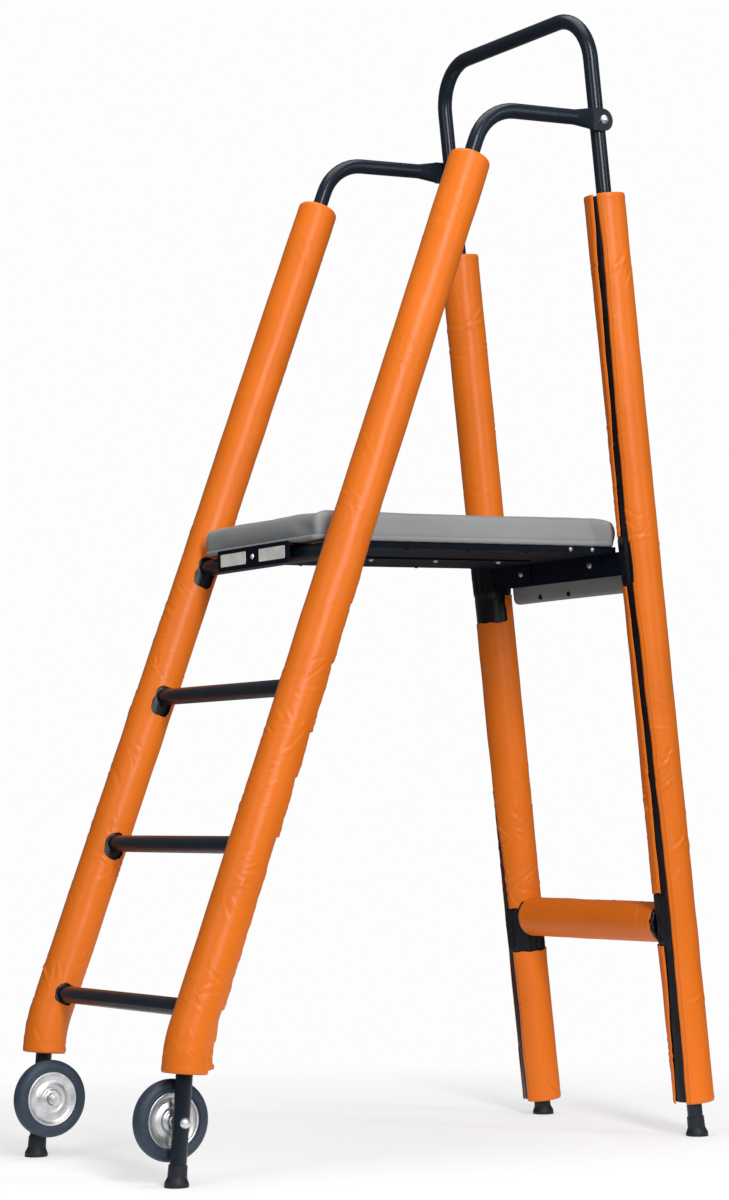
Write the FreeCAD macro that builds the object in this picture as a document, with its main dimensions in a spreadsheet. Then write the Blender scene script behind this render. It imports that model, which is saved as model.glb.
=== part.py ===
"""Folding platform step ladder with padded legs, as a parametric document.

Frame: +X is the climber's right, +Y points from the climbing side to the rear legs, +Z is up.
The origin is on the floor, in the middle of the object's bounding box.  Units are millimetres.

The front frame (two bent rails and four rungs) hangs from one bolt on each side of the rear
frame, an inverted U of tube.  The platform is hinged to a plate across the rear legs and its
front hook rests on the fourth rung.  Two wheels sit on the inner side of the front legs.
"""
import FreeCAD
import Part
import math
import os

import Sketcher
from FreeCAD import Placement, Rotation, Vector

AXIS_X = Vector(1, 0, 0)
AXIS_Y = Vector(0, 1, 0)
AXIS_Z = Vector(0, 0, 1)
SIDES = {"left": -1, "right": 1}

DIMENSIONS = {
    # tubes
    "tube_od": 27.0,
    "tube_wall": 2.0,
    "rung_od": 28.6,
    "rung_wall": 1.6,
    "tube_start": 8.0,
    # front frame, side view of the rail centreline
    "front_half": 245.0,
    "front_foot_y": -516.3,
    "low_bend_y": -496.7,
    "low_bend_z": 218.0,
    "low_bend_radius": 200.0,
    "high_bend_y": 105.3,
    "high_bend_z": 1778.5,
    "high_bend_radius": 92.0,
    "first_rung_z": 272.6,
    "rung_rise": 254.0,
    "platform_rung_z": 1010.0,
    # flattened end of each rail
    "flat_thick": 5.5,
    "flat_height": 40.0,
    "flat_run": 22.0,
    "flatten_run": 42.0,
    # rear frame, in the plane of its legs
    "rear_half": 227.5,
    "rear_foot_y": 539.6,
    "rear_lean": 5.78,
    "crown_rise": 1995.0,
    "crown_radius": 85.0,
    "bar_rise": 375.8,
    "pivot_rise": 1798.1,
    "pivot_bolt_od": 10.0,
    # pads
    "foam_od": 68.0,
    "sleeve_od": 72.0,
    "front_pad_low_z": 174.0,
    "front_pad_high_z": 1690.0,
    "pad_length": 1606.0,
    "left_pad_rise": 29.0,
    "right_pad_rise": 61.0,
    "bar_pad_half": 197.0,
    # wheels
    "wheel_od": 130.0,
    "tyre_width": 30.0,
    "hub_od": 91.0,
    "wheel_offset": 34.0,
    "axle_z": 99.0,
    "axle_od": 12.0,
    # rubber feet
    "foot_height": 34.0,
    "foot_base_od": 39.0,
    "foot_neck_od": 31.0,
    # plate across the rear legs
    "plate_thick": 3.0,
    "plate_low": 995.0,
    "plate_high": 1037.0,
    "plate_half": 222.0,
    # platform hinge
    "pin_rise": 1040.7,
    "pin_od": 5.0,
    "barrel_od": 9.0,
    "leaf_thick": 3.0,
    "leaf_centre": 105.0,
    "leaf_width": 60.0,
    # platform
    "deck_tilt": 1.1,
    "deck_half": 184.5,
    "deck_front": 583.0,
    "deck_rear": 8.0,
    "deck_ear": 2.0,
    "deck_depth": 11.0,
    "sheet_thick": 2.0,
    "cushion_half": 188.0,
    "cushion_front": 623.0,
    "cushion_rear": -2.0,
    "cushion_thick": 49.0,
    "cushion_corner": 18.0,
    "cushion_edge": 9.0,
    "hook_half": 114.0,
    "hook_front": 635.5,
    "hook_sheet": 2.5,
    "face_half": 118.0,
    "face_low": 26.0,
    "face_high": 10.0,
    "label_width": 84.0,
    "label_height": 21.5,
    "label_centre": 64.5,
    # padded bumper behind the plate
    "bumper_half": 189.0,
    "bumper_front": 15.0,
    "bumper_thick": 18.0,
    "bumper_low": 963.0,
    "bumper_high": 1030.0,
    # clearance beside moving parts, and around a shaft in its bore
    "gap": 0.3,
    "bore_gap": 0.08,
}

doc = FreeCAD.newDocument("step_ladder")
sheet = doc.addObject("Spreadsheet::Sheet", "Dims")
for row, (alias, number) in enumerate(DIMENSIONS.items(), start=1):
    sheet.set(f"A{row}", alias)
    sheet.set(f"B{row}", str(number))
    sheet.setAlias(f"B{row}", alias)
doc.recompute()


class Size:
    """A length or angle together with the sheet formula that gives it."""

    def __init__(self, value, formula):
        self.value = value
        self.formula = formula

    def __add__(self, other):
        other = size(other)
        return Size(self.value + other.value, f"({self.formula} + {other.formula})")

    def __sub__(self, other):
        other = size(other)
        return Size(self.value - other.value, f"({self.formula} - {other.formula})")

    def __mul__(self, other):
        other = size(other)
        return Size(self.value * other.value, f"({self.formula} * {other.formula})")

    def __truediv__(self, other):
        other = size(other)
        return Size(self.value / other.value, f"({self.formula} / {other.formula})")

    def __neg__(self):
        return Size(-self.value, f"(-1 * {self.formula})")


def size(number):
    """Any number as a Size."""
    if isinstance(number, Size):
        return number
    return Size(float(number), f"{float(number):.6f}")


def slope_angle(rise, run):
    """The angle in degrees whose tangent is rise / run."""
    ratio = rise / run
    return Size(math.degrees(math.atan(ratio.value)), f"atan({ratio.formula})")


def distance(run, rise):
    """Length of the slope with this run and rise."""
    return Size(math.hypot(run.value, rise.value), f"sqrt(({run.formula})^2 + ({rise.formula})^2)")


class Dims:
    """The sheet's cells by alias."""

    def __getattr__(self, alias):
        return Size(DIMENSIONS[alias], f"Dims.{alias}")


d = Dims()
tube_r = d.tube_od / 2
foam_r = d.foam_od / 2
sleeve_r = d.sleeve_od / 2
rung_r = d.rung_od / 2
axle_r = d.axle_od / 2

subparts = {}


def tie(obj, name, amount):
    """Bind one property to the sheet where its formula names a cell."""
    if "Dims" in amount.formula:
        obj.setExpression(name, amount.formula)


def bind(obj, **properties):
    """Set properties from Sizes or plain numbers."""
    for name, amount in properties.items():
        amount = size(amount)
        setattr(obj, name, amount.value)
        tie(obj, name, amount)
    return obj


def place_property(obj, name, x, y, z, axis=None, angle=0):
    """Set a placement property of an object and bind it."""
    x, y, z, angle = size(x), size(y), size(z), size(angle)
    turn = Rotation(axis, angle.value) if axis else Rotation()
    setattr(obj, name, Placement(Vector(x.value, y.value, z.value), turn))
    tie(obj, name + ".Base.x", x)
    tie(obj, name + ".Base.y", y)
    tie(obj, name + ".Base.z", z)
    tie(obj, name + ".Rotation.Angle", angle)
    return obj


def place(obj, x=0, y=0, z=0, axis=None, angle=0):
    """Place an object."""
    return place_property(obj, "Placement", x, y, z, axis, angle)


def box(name, x, y, z):
    """A box between three pairs of limits."""
    obj = doc.addObject("Part::Box", name)
    bind(obj, Length=size(x[1]) - x[0], Width=size(y[1]) - y[0], Height=size(z[1]) - z[0])
    return place(obj, x[0], y[0], z[0])


def rod(name, radius, start, end, y=0, z=0):
    """A cylinder along X from start to end."""
    obj = doc.addObject("Part::Cylinder", name)
    bind(obj, Radius=radius, Height=size(end) - start)
    return place(obj, start, y, z, AXIS_Y, 90)


def post(name, radius, start, end, x=0, y=0):
    """A cylinder along Z from start to end."""
    obj = doc.addObject("Part::Cylinder", name)
    bind(obj, Radius=radius, Height=size(end) - start)
    return place(obj, x, y, start)


def fuse(name, pieces):
    obj = doc.addObject("Part::MultiFuse", name)
    obj.Shapes = pieces
    return obj


def cut(name, base, tools):
    """The base less every tool."""
    obj = doc.addObject("Part::Cut", name)
    obj.Base = base
    obj.Tool = tools[0] if len(tools) == 1 else fuse(name + "_tools", tools)
    return obj


def group(name, pieces):
    """Separate solids that share one node."""
    obj = doc.addObject("Part::Compound", name)
    obj.Links = pieces
    return obj


def plane(body, role):
    for feature in body.Origin.OriginFeatures:
        if feature.Role == role:
            return feature
    raise ValueError(role)


def new_sketch(body, name, role):
    sketch = body.newObject("Sketcher::SketchObject", name)
    sketch.AttachmentSupport = (plane(body, role), "")
    sketch.MapMode = "FlatFace"
    return sketch


def pin_point(sketch, index, position, u, v):
    """Hold one sketch point at (u, v)."""
    for kind, amount in (("DistanceX", size(u)), ("DistanceY", size(v))):
        rule = Sketcher.Constraint(kind, -1, 1, index, position, amount.value)
        number = sketch.addConstraint(rule)
        tie(sketch, f"Constraints[{number}]", amount)


def add_arc(sketch, start, end, centre):
    """Add the minor arc from start to end; give its index and the names of its two ends."""
    first = start - centre
    last = end - centre
    forward = first.cross(last).z > 0
    if not forward:
        first, last = last, first
    begin = math.atan2(first.y, first.x)
    sweep = first.getAngle(last)
    arc = Part.ArcOfCircle(Part.Circle(centre, AXIS_Z, first.Length), begin, begin + sweep)
    index = sketch.addGeometry(arc, False)
    return (index, 1, 2) if forward else (index, 2, 1)


def arc_centre(start, end, radius):
    """Centre of a minor arc that bulges to the right of the way from start to end."""
    chord = end - start
    left = Vector(-chord.y, chord.x, 0).normalize()
    return (start + end) * 0.5 + left * math.sqrt(radius ** 2 - (chord.Length / 2) ** 2)


def outline(sketch, corners, arcs=None):
    """A closed outline through corners, counterclockwise where arcs names edges that bulge."""
    arcs = arcs or {}
    count = len(corners)
    vectors = [Vector(size(u).value, size(v).value, 0) for u, v in corners]
    first_of = []
    for i in range(count):
        start = vectors[i]
        end = vectors[(i + 1) % count]
        if i in arcs:
            centre = arc_centre(start, end, size(arcs[i]).value)
            first_of.append(add_arc(sketch, start, end, centre))
        else:
            index = sketch.addGeometry(Part.LineSegment(start, end), False)
            first_of.append((index, 1, 2))
    for i, (index, start_position, end_position) in enumerate(first_of):
        after, after_start, _ = first_of[(i + 1) % count]
        sketch.addConstraint(Sketcher.Constraint("Coincident", index, end_position, after, after_start))
        pin_point(sketch, index, start_position, *corners[i])
        if i in arcs:
            radius = size(arcs[i])
            number = sketch.addConstraint(Sketcher.Constraint("Radius", index, radius.value))
            tie(sketch, f"Constraints[{number}]", radius)


def rounded_rectangle(half_width, low, high, radius):
    """Corners and arcs of a rectangle with four round corners, for outline()."""
    inner = half_width - radius
    corners = [(-inner, low), (inner, low), (half_width, low + radius), (half_width, high - radius),
               (inner, high), (-inner, high), (-half_width, high - radius), (-half_width, low + radius)]
    return corners, {1: radius, 3: radius, 5: radius, 7: radius}


def circle(sketch, radius):
    """A circle around the sketch's origin."""
    radius = size(radius)
    index = sketch.addGeometry(Part.Circle(Vector(0, 0, 0), AXIS_Z, radius.value), False)
    sketch.addConstraint(Sketcher.Constraint("Coincident", index, 3, -1, 1))
    number = sketch.addConstraint(Sketcher.Constraint("Radius", index, radius.value))
    tie(sketch, f"Constraints[{number}]", radius)


def turned(name, corners, arcs=None):
    """A body turned about its own Z axis from an outline of (radius, height) corners."""
    body = doc.addObject("PartDesign::Body", name)
    sketch = new_sketch(body, name + "_outline", "XZ_Plane")
    outline(sketch, corners, arcs)
    turn = body.newObject("PartDesign::Revolution", name + "_turn")
    turn.Profile = sketch
    turn.ReferenceAxis = (sketch, ["V_Axis"])
    turn.Angle = 360.0
    return body


def padded(name, role, corners, start, end, arcs=None):
    """A body: an outline pushed out of an origin plane, from start to end along its normal."""
    body = doc.addObject("PartDesign::Body", name)
    sketch = new_sketch(body, name + "_outline", role)
    place_property(sketch, "AttachmentOffset", 0, 0, start)
    outline(sketch, corners, arcs)
    pad = body.newObject("PartDesign::Pad", name + "_pad")
    pad.Profile = sketch
    bind(pad, Length=size(end) - start)
    return body


def soften(body, height, radius):
    """Round the edges of a body that lie at one height."""
    doc.recompute()
    level = size(height).value
    base = body.Tip
    edges = []
    for index, edge in enumerate(base.Shape.Edges, start=1):
        if all(abs(vertex.Z - level) < 1e-4 for vertex in edge.Vertexes):
            edges.append(f"Edge{index}")
    fillet = body.newObject("PartDesign::Fillet", f"{body.Name}_round_{len(body.Group)}")
    fillet.Base = (base, edges)
    bind(fillet, Radius=radius)


def path(sketch, corners, radii):
    """An open path through corners (u, v), rounded at the inner ones."""
    points = [Vector(size(u).value, size(v).value, 0) for u, v in corners]
    starts = [points[0]]
    ends = []
    centres = []
    for i, radius in enumerate(radii, start=1):
        radius = size(radius).value
        before = (points[i - 1] - points[i]).normalize()
        after = (points[i + 1] - points[i]).normalize()
        half_turn = (math.pi - before.getAngle(after)) / 2
        reach = radius * math.tan(half_turn)
        ends.append(points[i] + before * reach)
        starts.append(points[i] + after * reach)
        to_centre = (before + after).normalize()
        centres.append(points[i] + to_centre * (radius / math.cos(half_turn)))
    ends.append(points[-1])
    line = sketch.addGeometry(Part.LineSegment(starts[0], ends[0]), False)
    pin_point(sketch, line, 1, *corners[0])
    for i, radius in enumerate(radii):
        radius = size(radius)
        arc, near, far = add_arc(sketch, ends[i], starts[i + 1], centres[i])
        next_line = sketch.addGeometry(Part.LineSegment(starts[i + 1], ends[i + 1]), False)
        sketch.addConstraint(Sketcher.Constraint("Tangent", line, 2, arc, near))
        sketch.addConstraint(Sketcher.Constraint("Tangent", arc, far, next_line, 1))
        number = sketch.addConstraint(Sketcher.Constraint("Radius", arc, radius.value))
        tie(sketch, f"Constraints[{number}]", radius)
        mark = sketch.addGeometry(Part.Point(points[i + 1]), True)
        pin_point(sketch, mark, 1, *corners[i + 1])
        sketch.addConstraint(Sketcher.Constraint("PointOnObject", mark, 1, line))
        sketch.addConstraint(Sketcher.Constraint("PointOnObject", mark, 1, next_line))
        line = next_line
    pin_point(sketch, line, 2, *corners[-1])


def bent_rod(name, role, corners, radii, radius, profile_at, profile_turn=0):
    """A solid round bar along a bent path in one origin plane of its body."""
    body = doc.addObject("PartDesign::Body", name)
    spine = new_sketch(body, name + "_path", role)
    path(spine, corners, radii)
    section = new_sketch(body, name + "_section", "XY_Plane")
    place_property(section, "AttachmentOffset", *profile_at, AXIS_X, profile_turn)
    circle(section, radius)
    doc.recompute()
    pipe = body.newObject("PartDesign::AdditivePipe", name + "_pipe")
    pipe.Profile = section
    pipe.Spine = (spine, [f"Edge{i + 1}" for i in range(len(spine.Shape.Edges))])
    return body


def finish(obj, label):
    """Name a finished sub-part."""
    obj.Label = label
    subparts[label] = obj
    return obj


def rear(obj):
    """Turn a piece drawn in the plane of the rear legs into its place."""
    return place(obj, 0, d.rear_foot_y, 0, AXIS_X, d.rear_lean)


lean = math.radians(DIMENSIONS["rear_lean"])
sin_lean = Size(math.sin(lean), "sin(Dims.rear_lean)")
cos_lean = Size(math.cos(lean), "cos(Dims.rear_lean)")
pivot_y = d.rear_foot_y - d.pivot_rise * sin_lean
pivot_z = d.pivot_rise * cos_lean
pivot_bolt_r = d.pivot_bolt_od / 2
# the hinge pin lies in front of the plate, tangent to its front face
pin_front = -(tube_r + d.plate_thick + d.barrel_od / 2)
pin_y = d.rear_foot_y + pin_front * cos_lean - d.pin_rise * sin_lean
pin_z = pin_front * sin_lean + d.pin_rise * cos_lean


def deck(obj):
    """Turn a piece drawn around the hinge pin, level, into its place on the platform."""
    return place(obj, 0, pin_y, pin_z, AXIS_X, d.deck_tilt)


# --------------------------------------------------------------------------- front frame
low_slope = (d.low_bend_y - d.front_foot_y) / d.low_bend_z
high_slope = (d.high_bend_y - d.low_bend_y) / (d.high_bend_z - d.low_bend_z)
low_turn = -slope_angle(d.low_bend_y - d.front_foot_y, d.low_bend_z)
handrail_turn = slope_angle(pivot_z - d.high_bend_z, pivot_y - d.high_bend_y)
handrail_run = distance(pivot_y - d.high_bend_y, pivot_z - d.high_bend_z)


def low_y(z):
    """Rail centreline below the lower bend."""
    return d.front_foot_y + low_slope * z


def high_y(z):
    """Rail centreline between the bends."""
    return d.low_bend_y + high_slope * (size(z) - d.low_bend_z)


def rail_rod(name, side, radius, full=True):
    """A round bar along the rail: its whole length, or only the padded stretch."""
    low_z = d.tube_start if full else d.front_pad_low_z
    corners = [(low_y(low_z), low_z), (d.low_bend_y, d.low_bend_z)]
    radii = [d.low_bend_radius]
    if full:
        reach = (d.flat_run + d.flatten_run) / handrail_run
        end_y = pivot_y - (pivot_y - d.high_bend_y) * reach
        end_z = pivot_z - (pivot_z - d.high_bend_z) * reach
        corners += [(d.high_bend_y, d.high_bend_z), (end_y, end_z)]
        radii.append(d.high_bend_radius)
    else:
        corners.append((high_y(d.front_pad_high_z), d.front_pad_high_z))
    at = (0, low_y(low_z), low_z)
    body = bent_rod(name, "YZ_Plane", corners, radii, radius, at, low_turn)
    return place(body, d.front_half * side)


def rail_end(name, side):
    """The taper from the round tube and the flat eye that the pivot bolt passes through."""
    at = (d.front_half * side, pivot_y, pivot_z, AXIS_X, handrail_turn)
    upright = Rotation(AXIS_Z, AXIS_X, AXIS_Y, "XYZ")
    round_edge = doc.addObject("Part::Circle", name + "_round")
    bind(round_edge, Radius=tube_r)
    flat_edge = doc.addObject("Part::Ellipse", name + "_flat")
    bind(flat_edge, MajorRadius=d.flat_height / 2, MinorRadius=d.flat_thick / 2)
    for edge, back in ((round_edge, d.flat_run + d.flatten_run), (flat_edge, d.flat_run)):
        edge.Placement = Placement(Vector(0, -back.value, 0), upright)
        tie(edge, "Placement.Base.y", -back)
    taper = doc.addObject("Part::Loft", name + "_taper")
    taper.Sections = [round_edge, flat_edge]
    taper.Solid = True
    half = d.flat_thick / 2
    tall = d.flat_height / 2
    start = -(d.flat_run + 2)
    corners = [(start, -tall), (0, -tall), (tall, 0), (0, tall), (start, tall)]
    eye = padded(name + "_eye", "YZ_Plane", corners, -half, half, {1: tall, 2: tall})
    return [place(taper, *at), place(eye, *at)]


axle_y = low_y(d.axle_z)
rung_heights = [d.first_rung_z + d.rung_rise * step for step in range(3)] + [d.platform_rung_z]
rung_ys = [high_y(z) for z in rung_heights]

rail_cores = {}
for side_name, side in SIDES.items():
    core = rail_rod(f"rail_core_{side_name}", side, tube_r)
    rail_cores[side_name] = core
    bore = rail_rod(f"rail_bore_{side_name}", side, tube_r - d.tube_wall)
    whole = fuse(f"rail_whole_{side_name}", [core] + rail_end(f"rail_end_{side_name}", side))
    x_from = d.front_half * side - 20
    x_to = d.front_half * side + 20
    bolt_hole = rod(f"rail_pivot_hole_{side_name}", pivot_bolt_r + d.bore_gap, x_from, x_to,
                    pivot_y, pivot_z)
    axle_hole = rod(f"rail_axle_hole_{side_name}", axle_r, x_from, x_to, axle_y, d.axle_z)
    rail = cut(f"rail_cut_{side_name}", whole, [bore, bolt_hole, axle_hole])
    finish(rail, f"rail_{side_name}")

rung_ends = d.front_half - 4
rung_tools = {"foam": [], "sleeve": []}
for number, (z, y) in enumerate(zip(rung_heights, rung_ys), start=1):
    outer = rod(f"rung_{number}_outer", rung_r, -rung_ends, rung_ends, y, z)
    inner = rod(f"rung_{number}_bore", rung_r - d.rung_wall, -rung_ends, rung_ends, y, z)
    name = f"rung_{number}" if number < 4 else "platform_rung"
    rung = cut(name + "_cut", outer, [inner, rail_cores["left"], rail_cores["right"]])
    finish(rung, name)
    for kind, extra in (("foam", 0.5), ("sleeve", 5.0)):
        tool = rod(f"{kind}_hole_{number}", rung_r + extra, -d.front_half, d.front_half, y, z)
        rung_tools[kind].append(tool)

for side_name, side in SIDES.items():
    foam_core = rail_rod(f"front_foam_core_{side_name}", side, foam_r, full=False)
    sleeve_core = rail_rod(f"front_sleeve_core_{side_name}", side, sleeve_r, full=False)
    foam = cut(f"front_foam_{side_name}", foam_core, [rail_cores[side_name]] + rung_tools["foam"])
    finish(foam, f"foam_front_{side_name}")
    sleeve = cut(f"front_sleeve_{side_name}", sleeve_core, [foam_core] + rung_tools["sleeve"])
    finish(sleeve, f"sleeve_front_{side_name}")


# --------------------------------------------------------------------------- feet
def foot(name, x, y, turn):
    """A flared rubber tip pushed on a tube, with its base flat on the floor."""
    neck = d.foot_neck_od / 2
    base = d.foot_base_od / 2
    corners = [(0, -8), (base, -8), (base, 6), (neck, 15), (neck - 0.5, d.foot_height),
               (tube_r, d.foot_height), (tube_r, d.tube_start), (0, d.tube_start)]
    tip = place(turned(name + "_tip", corners), x, y, 0, AXIS_X, turn)
    floor = box(name + "_floor", (size(x) - 60, size(x) + 60), (size(y) - 60, size(y) + 60), (-40, 0))
    return cut(name + "_cut", tip, [floor])


for side_name, side in SIDES.items():
    tip = foot(f"front_tip_{side_name}", d.front_half * side, d.front_foot_y, low_turn)
    finish(tip, f"foot_front_{side_name}")
    tip = foot(f"rear_tip_{side_name}", d.rear_half * side, d.rear_foot_y, d.rear_lean)
    finish(tip, f"foot_rear_{side_name}")


# --------------------------------------------------------------------------- wheels
def on_x(obj, side, x, y, z):
    """Lay a turned body along X, its +Z end pointing outward on that side."""
    return place(obj, x, y, z, AXIS_Y, 90 * side)


def domed_bolt(name, head_r, head_h, shank_r, length):
    """Dome head above z = 0 and a shank below it."""
    corners = [(0, head_h), (0, -length), (shank_r, -length), (shank_r, 0), (head_r, 0)]
    sphere = (head_r * head_r + head_h * head_h) / (head_h * 2)
    return turned(name, corners, {4: sphere})


def nut(name, radius, height):
    obj = doc.addObject("Part::Prism", name)
    obj.Polygon = 6
    bind(obj, Circumradius=radius, Height=height)
    return obj


wheel_r = d.wheel_od / 2
hub_r = d.hub_od / 2
half_tyre = d.tyre_width / 2
wheel_centre = d.front_half - d.wheel_offset
for side_name, side in SIDES.items():
    centre = wheel_centre * side
    bead = half_tyre - 4
    shoulder = wheel_r - 7
    crown = (half_tyre * half_tyre + 49) / 14
    corners = [(hub_r, -bead), (hub_r + 5, -half_tyre), (shoulder, -half_tyre),
               (shoulder, half_tyre), (hub_r + 5, half_tyre), (hub_r, bead)]
    tyre = turned(f"tyre_body_{side_name}", corners, {2: crown})
    finish(on_x(tyre, side, centre, axle_y, d.axle_z), f"tyre_{side_name}")
    half_hub = [(9, 13), (15, 13), (18, 8), (29, 6.5), (33, 9.5), (40, 9.5), (hub_r, bead)]
    other_half = [(r, -size(h)) for r, h in reversed(half_hub)]
    hub = turned(f"hub_body_{side_name}", half_hub + other_half)
    finish(on_x(hub, side, centre, axle_y, d.axle_z), f"hub_{side_name}")
    bush_bore = axle_r + d.bore_gap
    ring = [(bush_bore, -14), (9, -14), (9, 14), (bush_bore, 14)]
    bush = turned(f"bush_body_{side_name}", ring)
    finish(on_x(bush, side, centre, axle_y, d.axle_z), f"wheel_bush_{side_name}")
    leg_side = d.front_half - tube_r
    wheel_side = wheel_centre + 14 + d.gap
    ring = [(axle_r, 0), (10, 0), (10, leg_side - wheel_side), (axle_r, leg_side - wheel_side)]
    spacer = turned(f"spacer_body_{side_name}", ring)
    finish(on_x(spacer, side, wheel_side * side, axle_y, d.axle_z), f"axle_spacer_{side_name}")
    bolt = domed_bolt(f"axle_body_{side_name}", size(9), size(7), axle_r, d.front_half + tube_r - 186)
    head = (d.front_half + tube_r) * side
    finish(on_x(bolt, side, head, axle_y, d.axle_z), f"axle_bolt_{side_name}")

nuts = []
for side_name, side in SIDES.items():
    blank = on_x(nut(f"axle_nut_{side_name}", 10.5, 8), side, (wheel_centre - 14 - d.gap - 8) * side,
                 axle_y, d.axle_z)
    hole = rod(f"axle_nut_hole_{side_name}", axle_r, size(120 * side) - 100, size(120 * side) + 100,
               axle_y, d.axle_z)
    nuts.append(cut(f"axle_nut_cut_{side_name}", blank, [hole]))
finish(group("axle_nut_pair", nuts), "axle_nuts")


# --------------------------------------------------------------------------- rear frame
def crown_rod(name, radius):
    """A round bar along the inverted U of the rear frame."""
    corners = [(d.rear_half, d.tube_start), (d.rear_half, d.crown_rise),
               (-d.rear_half, d.crown_rise), (-d.rear_half, d.tube_start)]
    radii = [d.crown_radius, d.crown_radius]
    at = (d.rear_half, 0, d.tube_start)
    return bent_rod(name, "XZ_Plane", corners, radii, radius, at)


crown_core = crown_rod("crown_core", tube_r)
crown_bore = crown_rod("crown_bore", tube_r - d.tube_wall)
crown_hole = rod("crown_pivot_hole", pivot_bolt_r, -300, 300, 0, d.pivot_rise)
finish(rear(cut("crown_cut", crown_core, [crown_bore, crown_hole])), "rear_tube")

bar_end = d.rear_half - 4
bar_outer = rod("bar_outer", tube_r, -bar_end, bar_end, 0, d.bar_rise)
bar_bore = rod("bar_bore", tube_r - d.tube_wall, -bar_end, bar_end, 0, d.bar_rise)
finish(rear(cut("bar_cut", bar_outer, [bar_bore, crown_core])), "lower_crossbar")

bar_foam = rod("bar_foam", foam_r, -d.bar_pad_half, d.bar_pad_half, 0, d.bar_rise)
bar_sleeve = rod("bar_sleeve", sleeve_r, -d.bar_pad_half, d.bar_pad_half, 0, d.bar_rise)
finish(rear(cut("bar_foam_cut", bar_foam, [bar_outer])), "foam_crossbar")
finish(rear(cut("bar_sleeve_cut", bar_sleeve, [bar_foam])), "sleeve_crossbar")

bar_room = rod("bar_room", sleeve_r + 1, -(d.bar_pad_half + 1), d.bar_pad_half + 1, 0, d.bar_rise)
plate_room = box("plate_room", (-(d.plate_half + 1), d.plate_half + 1),
                 (-(tube_r + 10), -(tube_r - 1)), (d.plate_low - 1, d.plate_high + 1))
bar_window = box("bar_window", (-d.rear_half, d.rear_half), (-50, 50),
                 (d.bar_rise - 69, d.bar_rise + 21))
plate_window = box("plate_window", (-d.rear_half, d.rear_half), (-50, 50), (940, 1050))
for side_name, side in SIDES.items():
    low = d.left_pad_rise if side < 0 else d.right_pad_rise
    x = d.rear_half * side
    foam_post = post(f"rear_foam_core_{side_name}", foam_r, low, low + d.pad_length, x)
    sleeve_post = post(f"rear_sleeve_core_{side_name}", sleeve_r, low, low + d.pad_length, x)
    foot_room = post(f"foot_room_{side_name}", d.foot_neck_od / 2 + d.gap, 0, d.foot_height + d.gap, x)
    foam_tools = [crown_core, bar_outer, bar_room, plate_room, foot_room]
    foam = cut(f"rear_foam_{side_name}", foam_post, foam_tools)
    finish(rear(foam), f"foam_rear_{side_name}")
    sleeve_tools = [foam_post, bar_room, bar_window, plate_window]
    finish(rear(cut(f"rear_sleeve_{side_name}", sleeve_post, sleeve_tools)), f"sleeve_rear_{side_name}")

# pivot bolts, nuts and washers
for side_name, side in SIDES.items():
    eye_face = d.front_half + d.flat_thick / 2 + d.gap
    bolt = domed_bolt(f"pivot_bolt_body_{side_name}", size(8.5), size(8), pivot_bolt_r, eye_face - 203)
    on_x(bolt, side, eye_face * side, 0, d.pivot_rise)
    finish(rear(group(f"pivot_bolt_group_{side_name}", [bolt])), f"pivot_bolt_{side_name}")
pivot_nuts = []
pivot_washers = []
tube_face = d.rear_half + tube_r
for side_name, side in SIDES.items():
    inner_face = (d.rear_half - tube_r) * side
    blank = on_x(nut(f"pivot_nut_{side_name}", 9, 8), -side, inner_face, 0, d.pivot_rise)
    hole = rod(f"pivot_nut_hole_{side_name}", pivot_bolt_r, inner_face - 20, inner_face + 20,
               0, d.pivot_rise)
    pivot_nuts.append(cut(f"pivot_nut_cut_{side_name}", blank, [hole]))
    ring = [(pivot_bolt_r, 0), (12, 0), (12, 1), (pivot_bolt_r, 1)]
    washer = turned(f"pivot_washer_{side_name}", ring)
    pivot_washers.append(on_x(washer, side, tube_face * side, 0, d.pivot_rise))
finish(rear(group("pivot_nut_pair", pivot_nuts)), "pivot_nuts")
finish(rear(group("pivot_washer_pair", pivot_washers)), "pivot_washers")

# plate across the front of the rear legs, with its bolts
plate_back = -tube_r
plate_front = -(tube_r + d.plate_thick)
plate = box("plate_blank", (-d.plate_half, d.plate_half), (plate_front, plate_back),
            (d.plate_low, d.plate_high))
leaf_bolt_rise = size(1020)
leaf_bolt_x = [d.leaf_centre * side for side in (-1, 1)]
plate_holes = []
for index, x in enumerate(leaf_bolt_x):
    hole = doc.addObject("Part::Cylinder", f"plate_hole_{index}")
    bind(hole, Radius=3, Height=20)
    plate_holes.append(place(hole, x, plate_back + 8, leaf_bolt_rise, AXIS_X, 90))
finish(rear(cut("plate_cut", plate, plate_holes)), "cross_plate")

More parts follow.
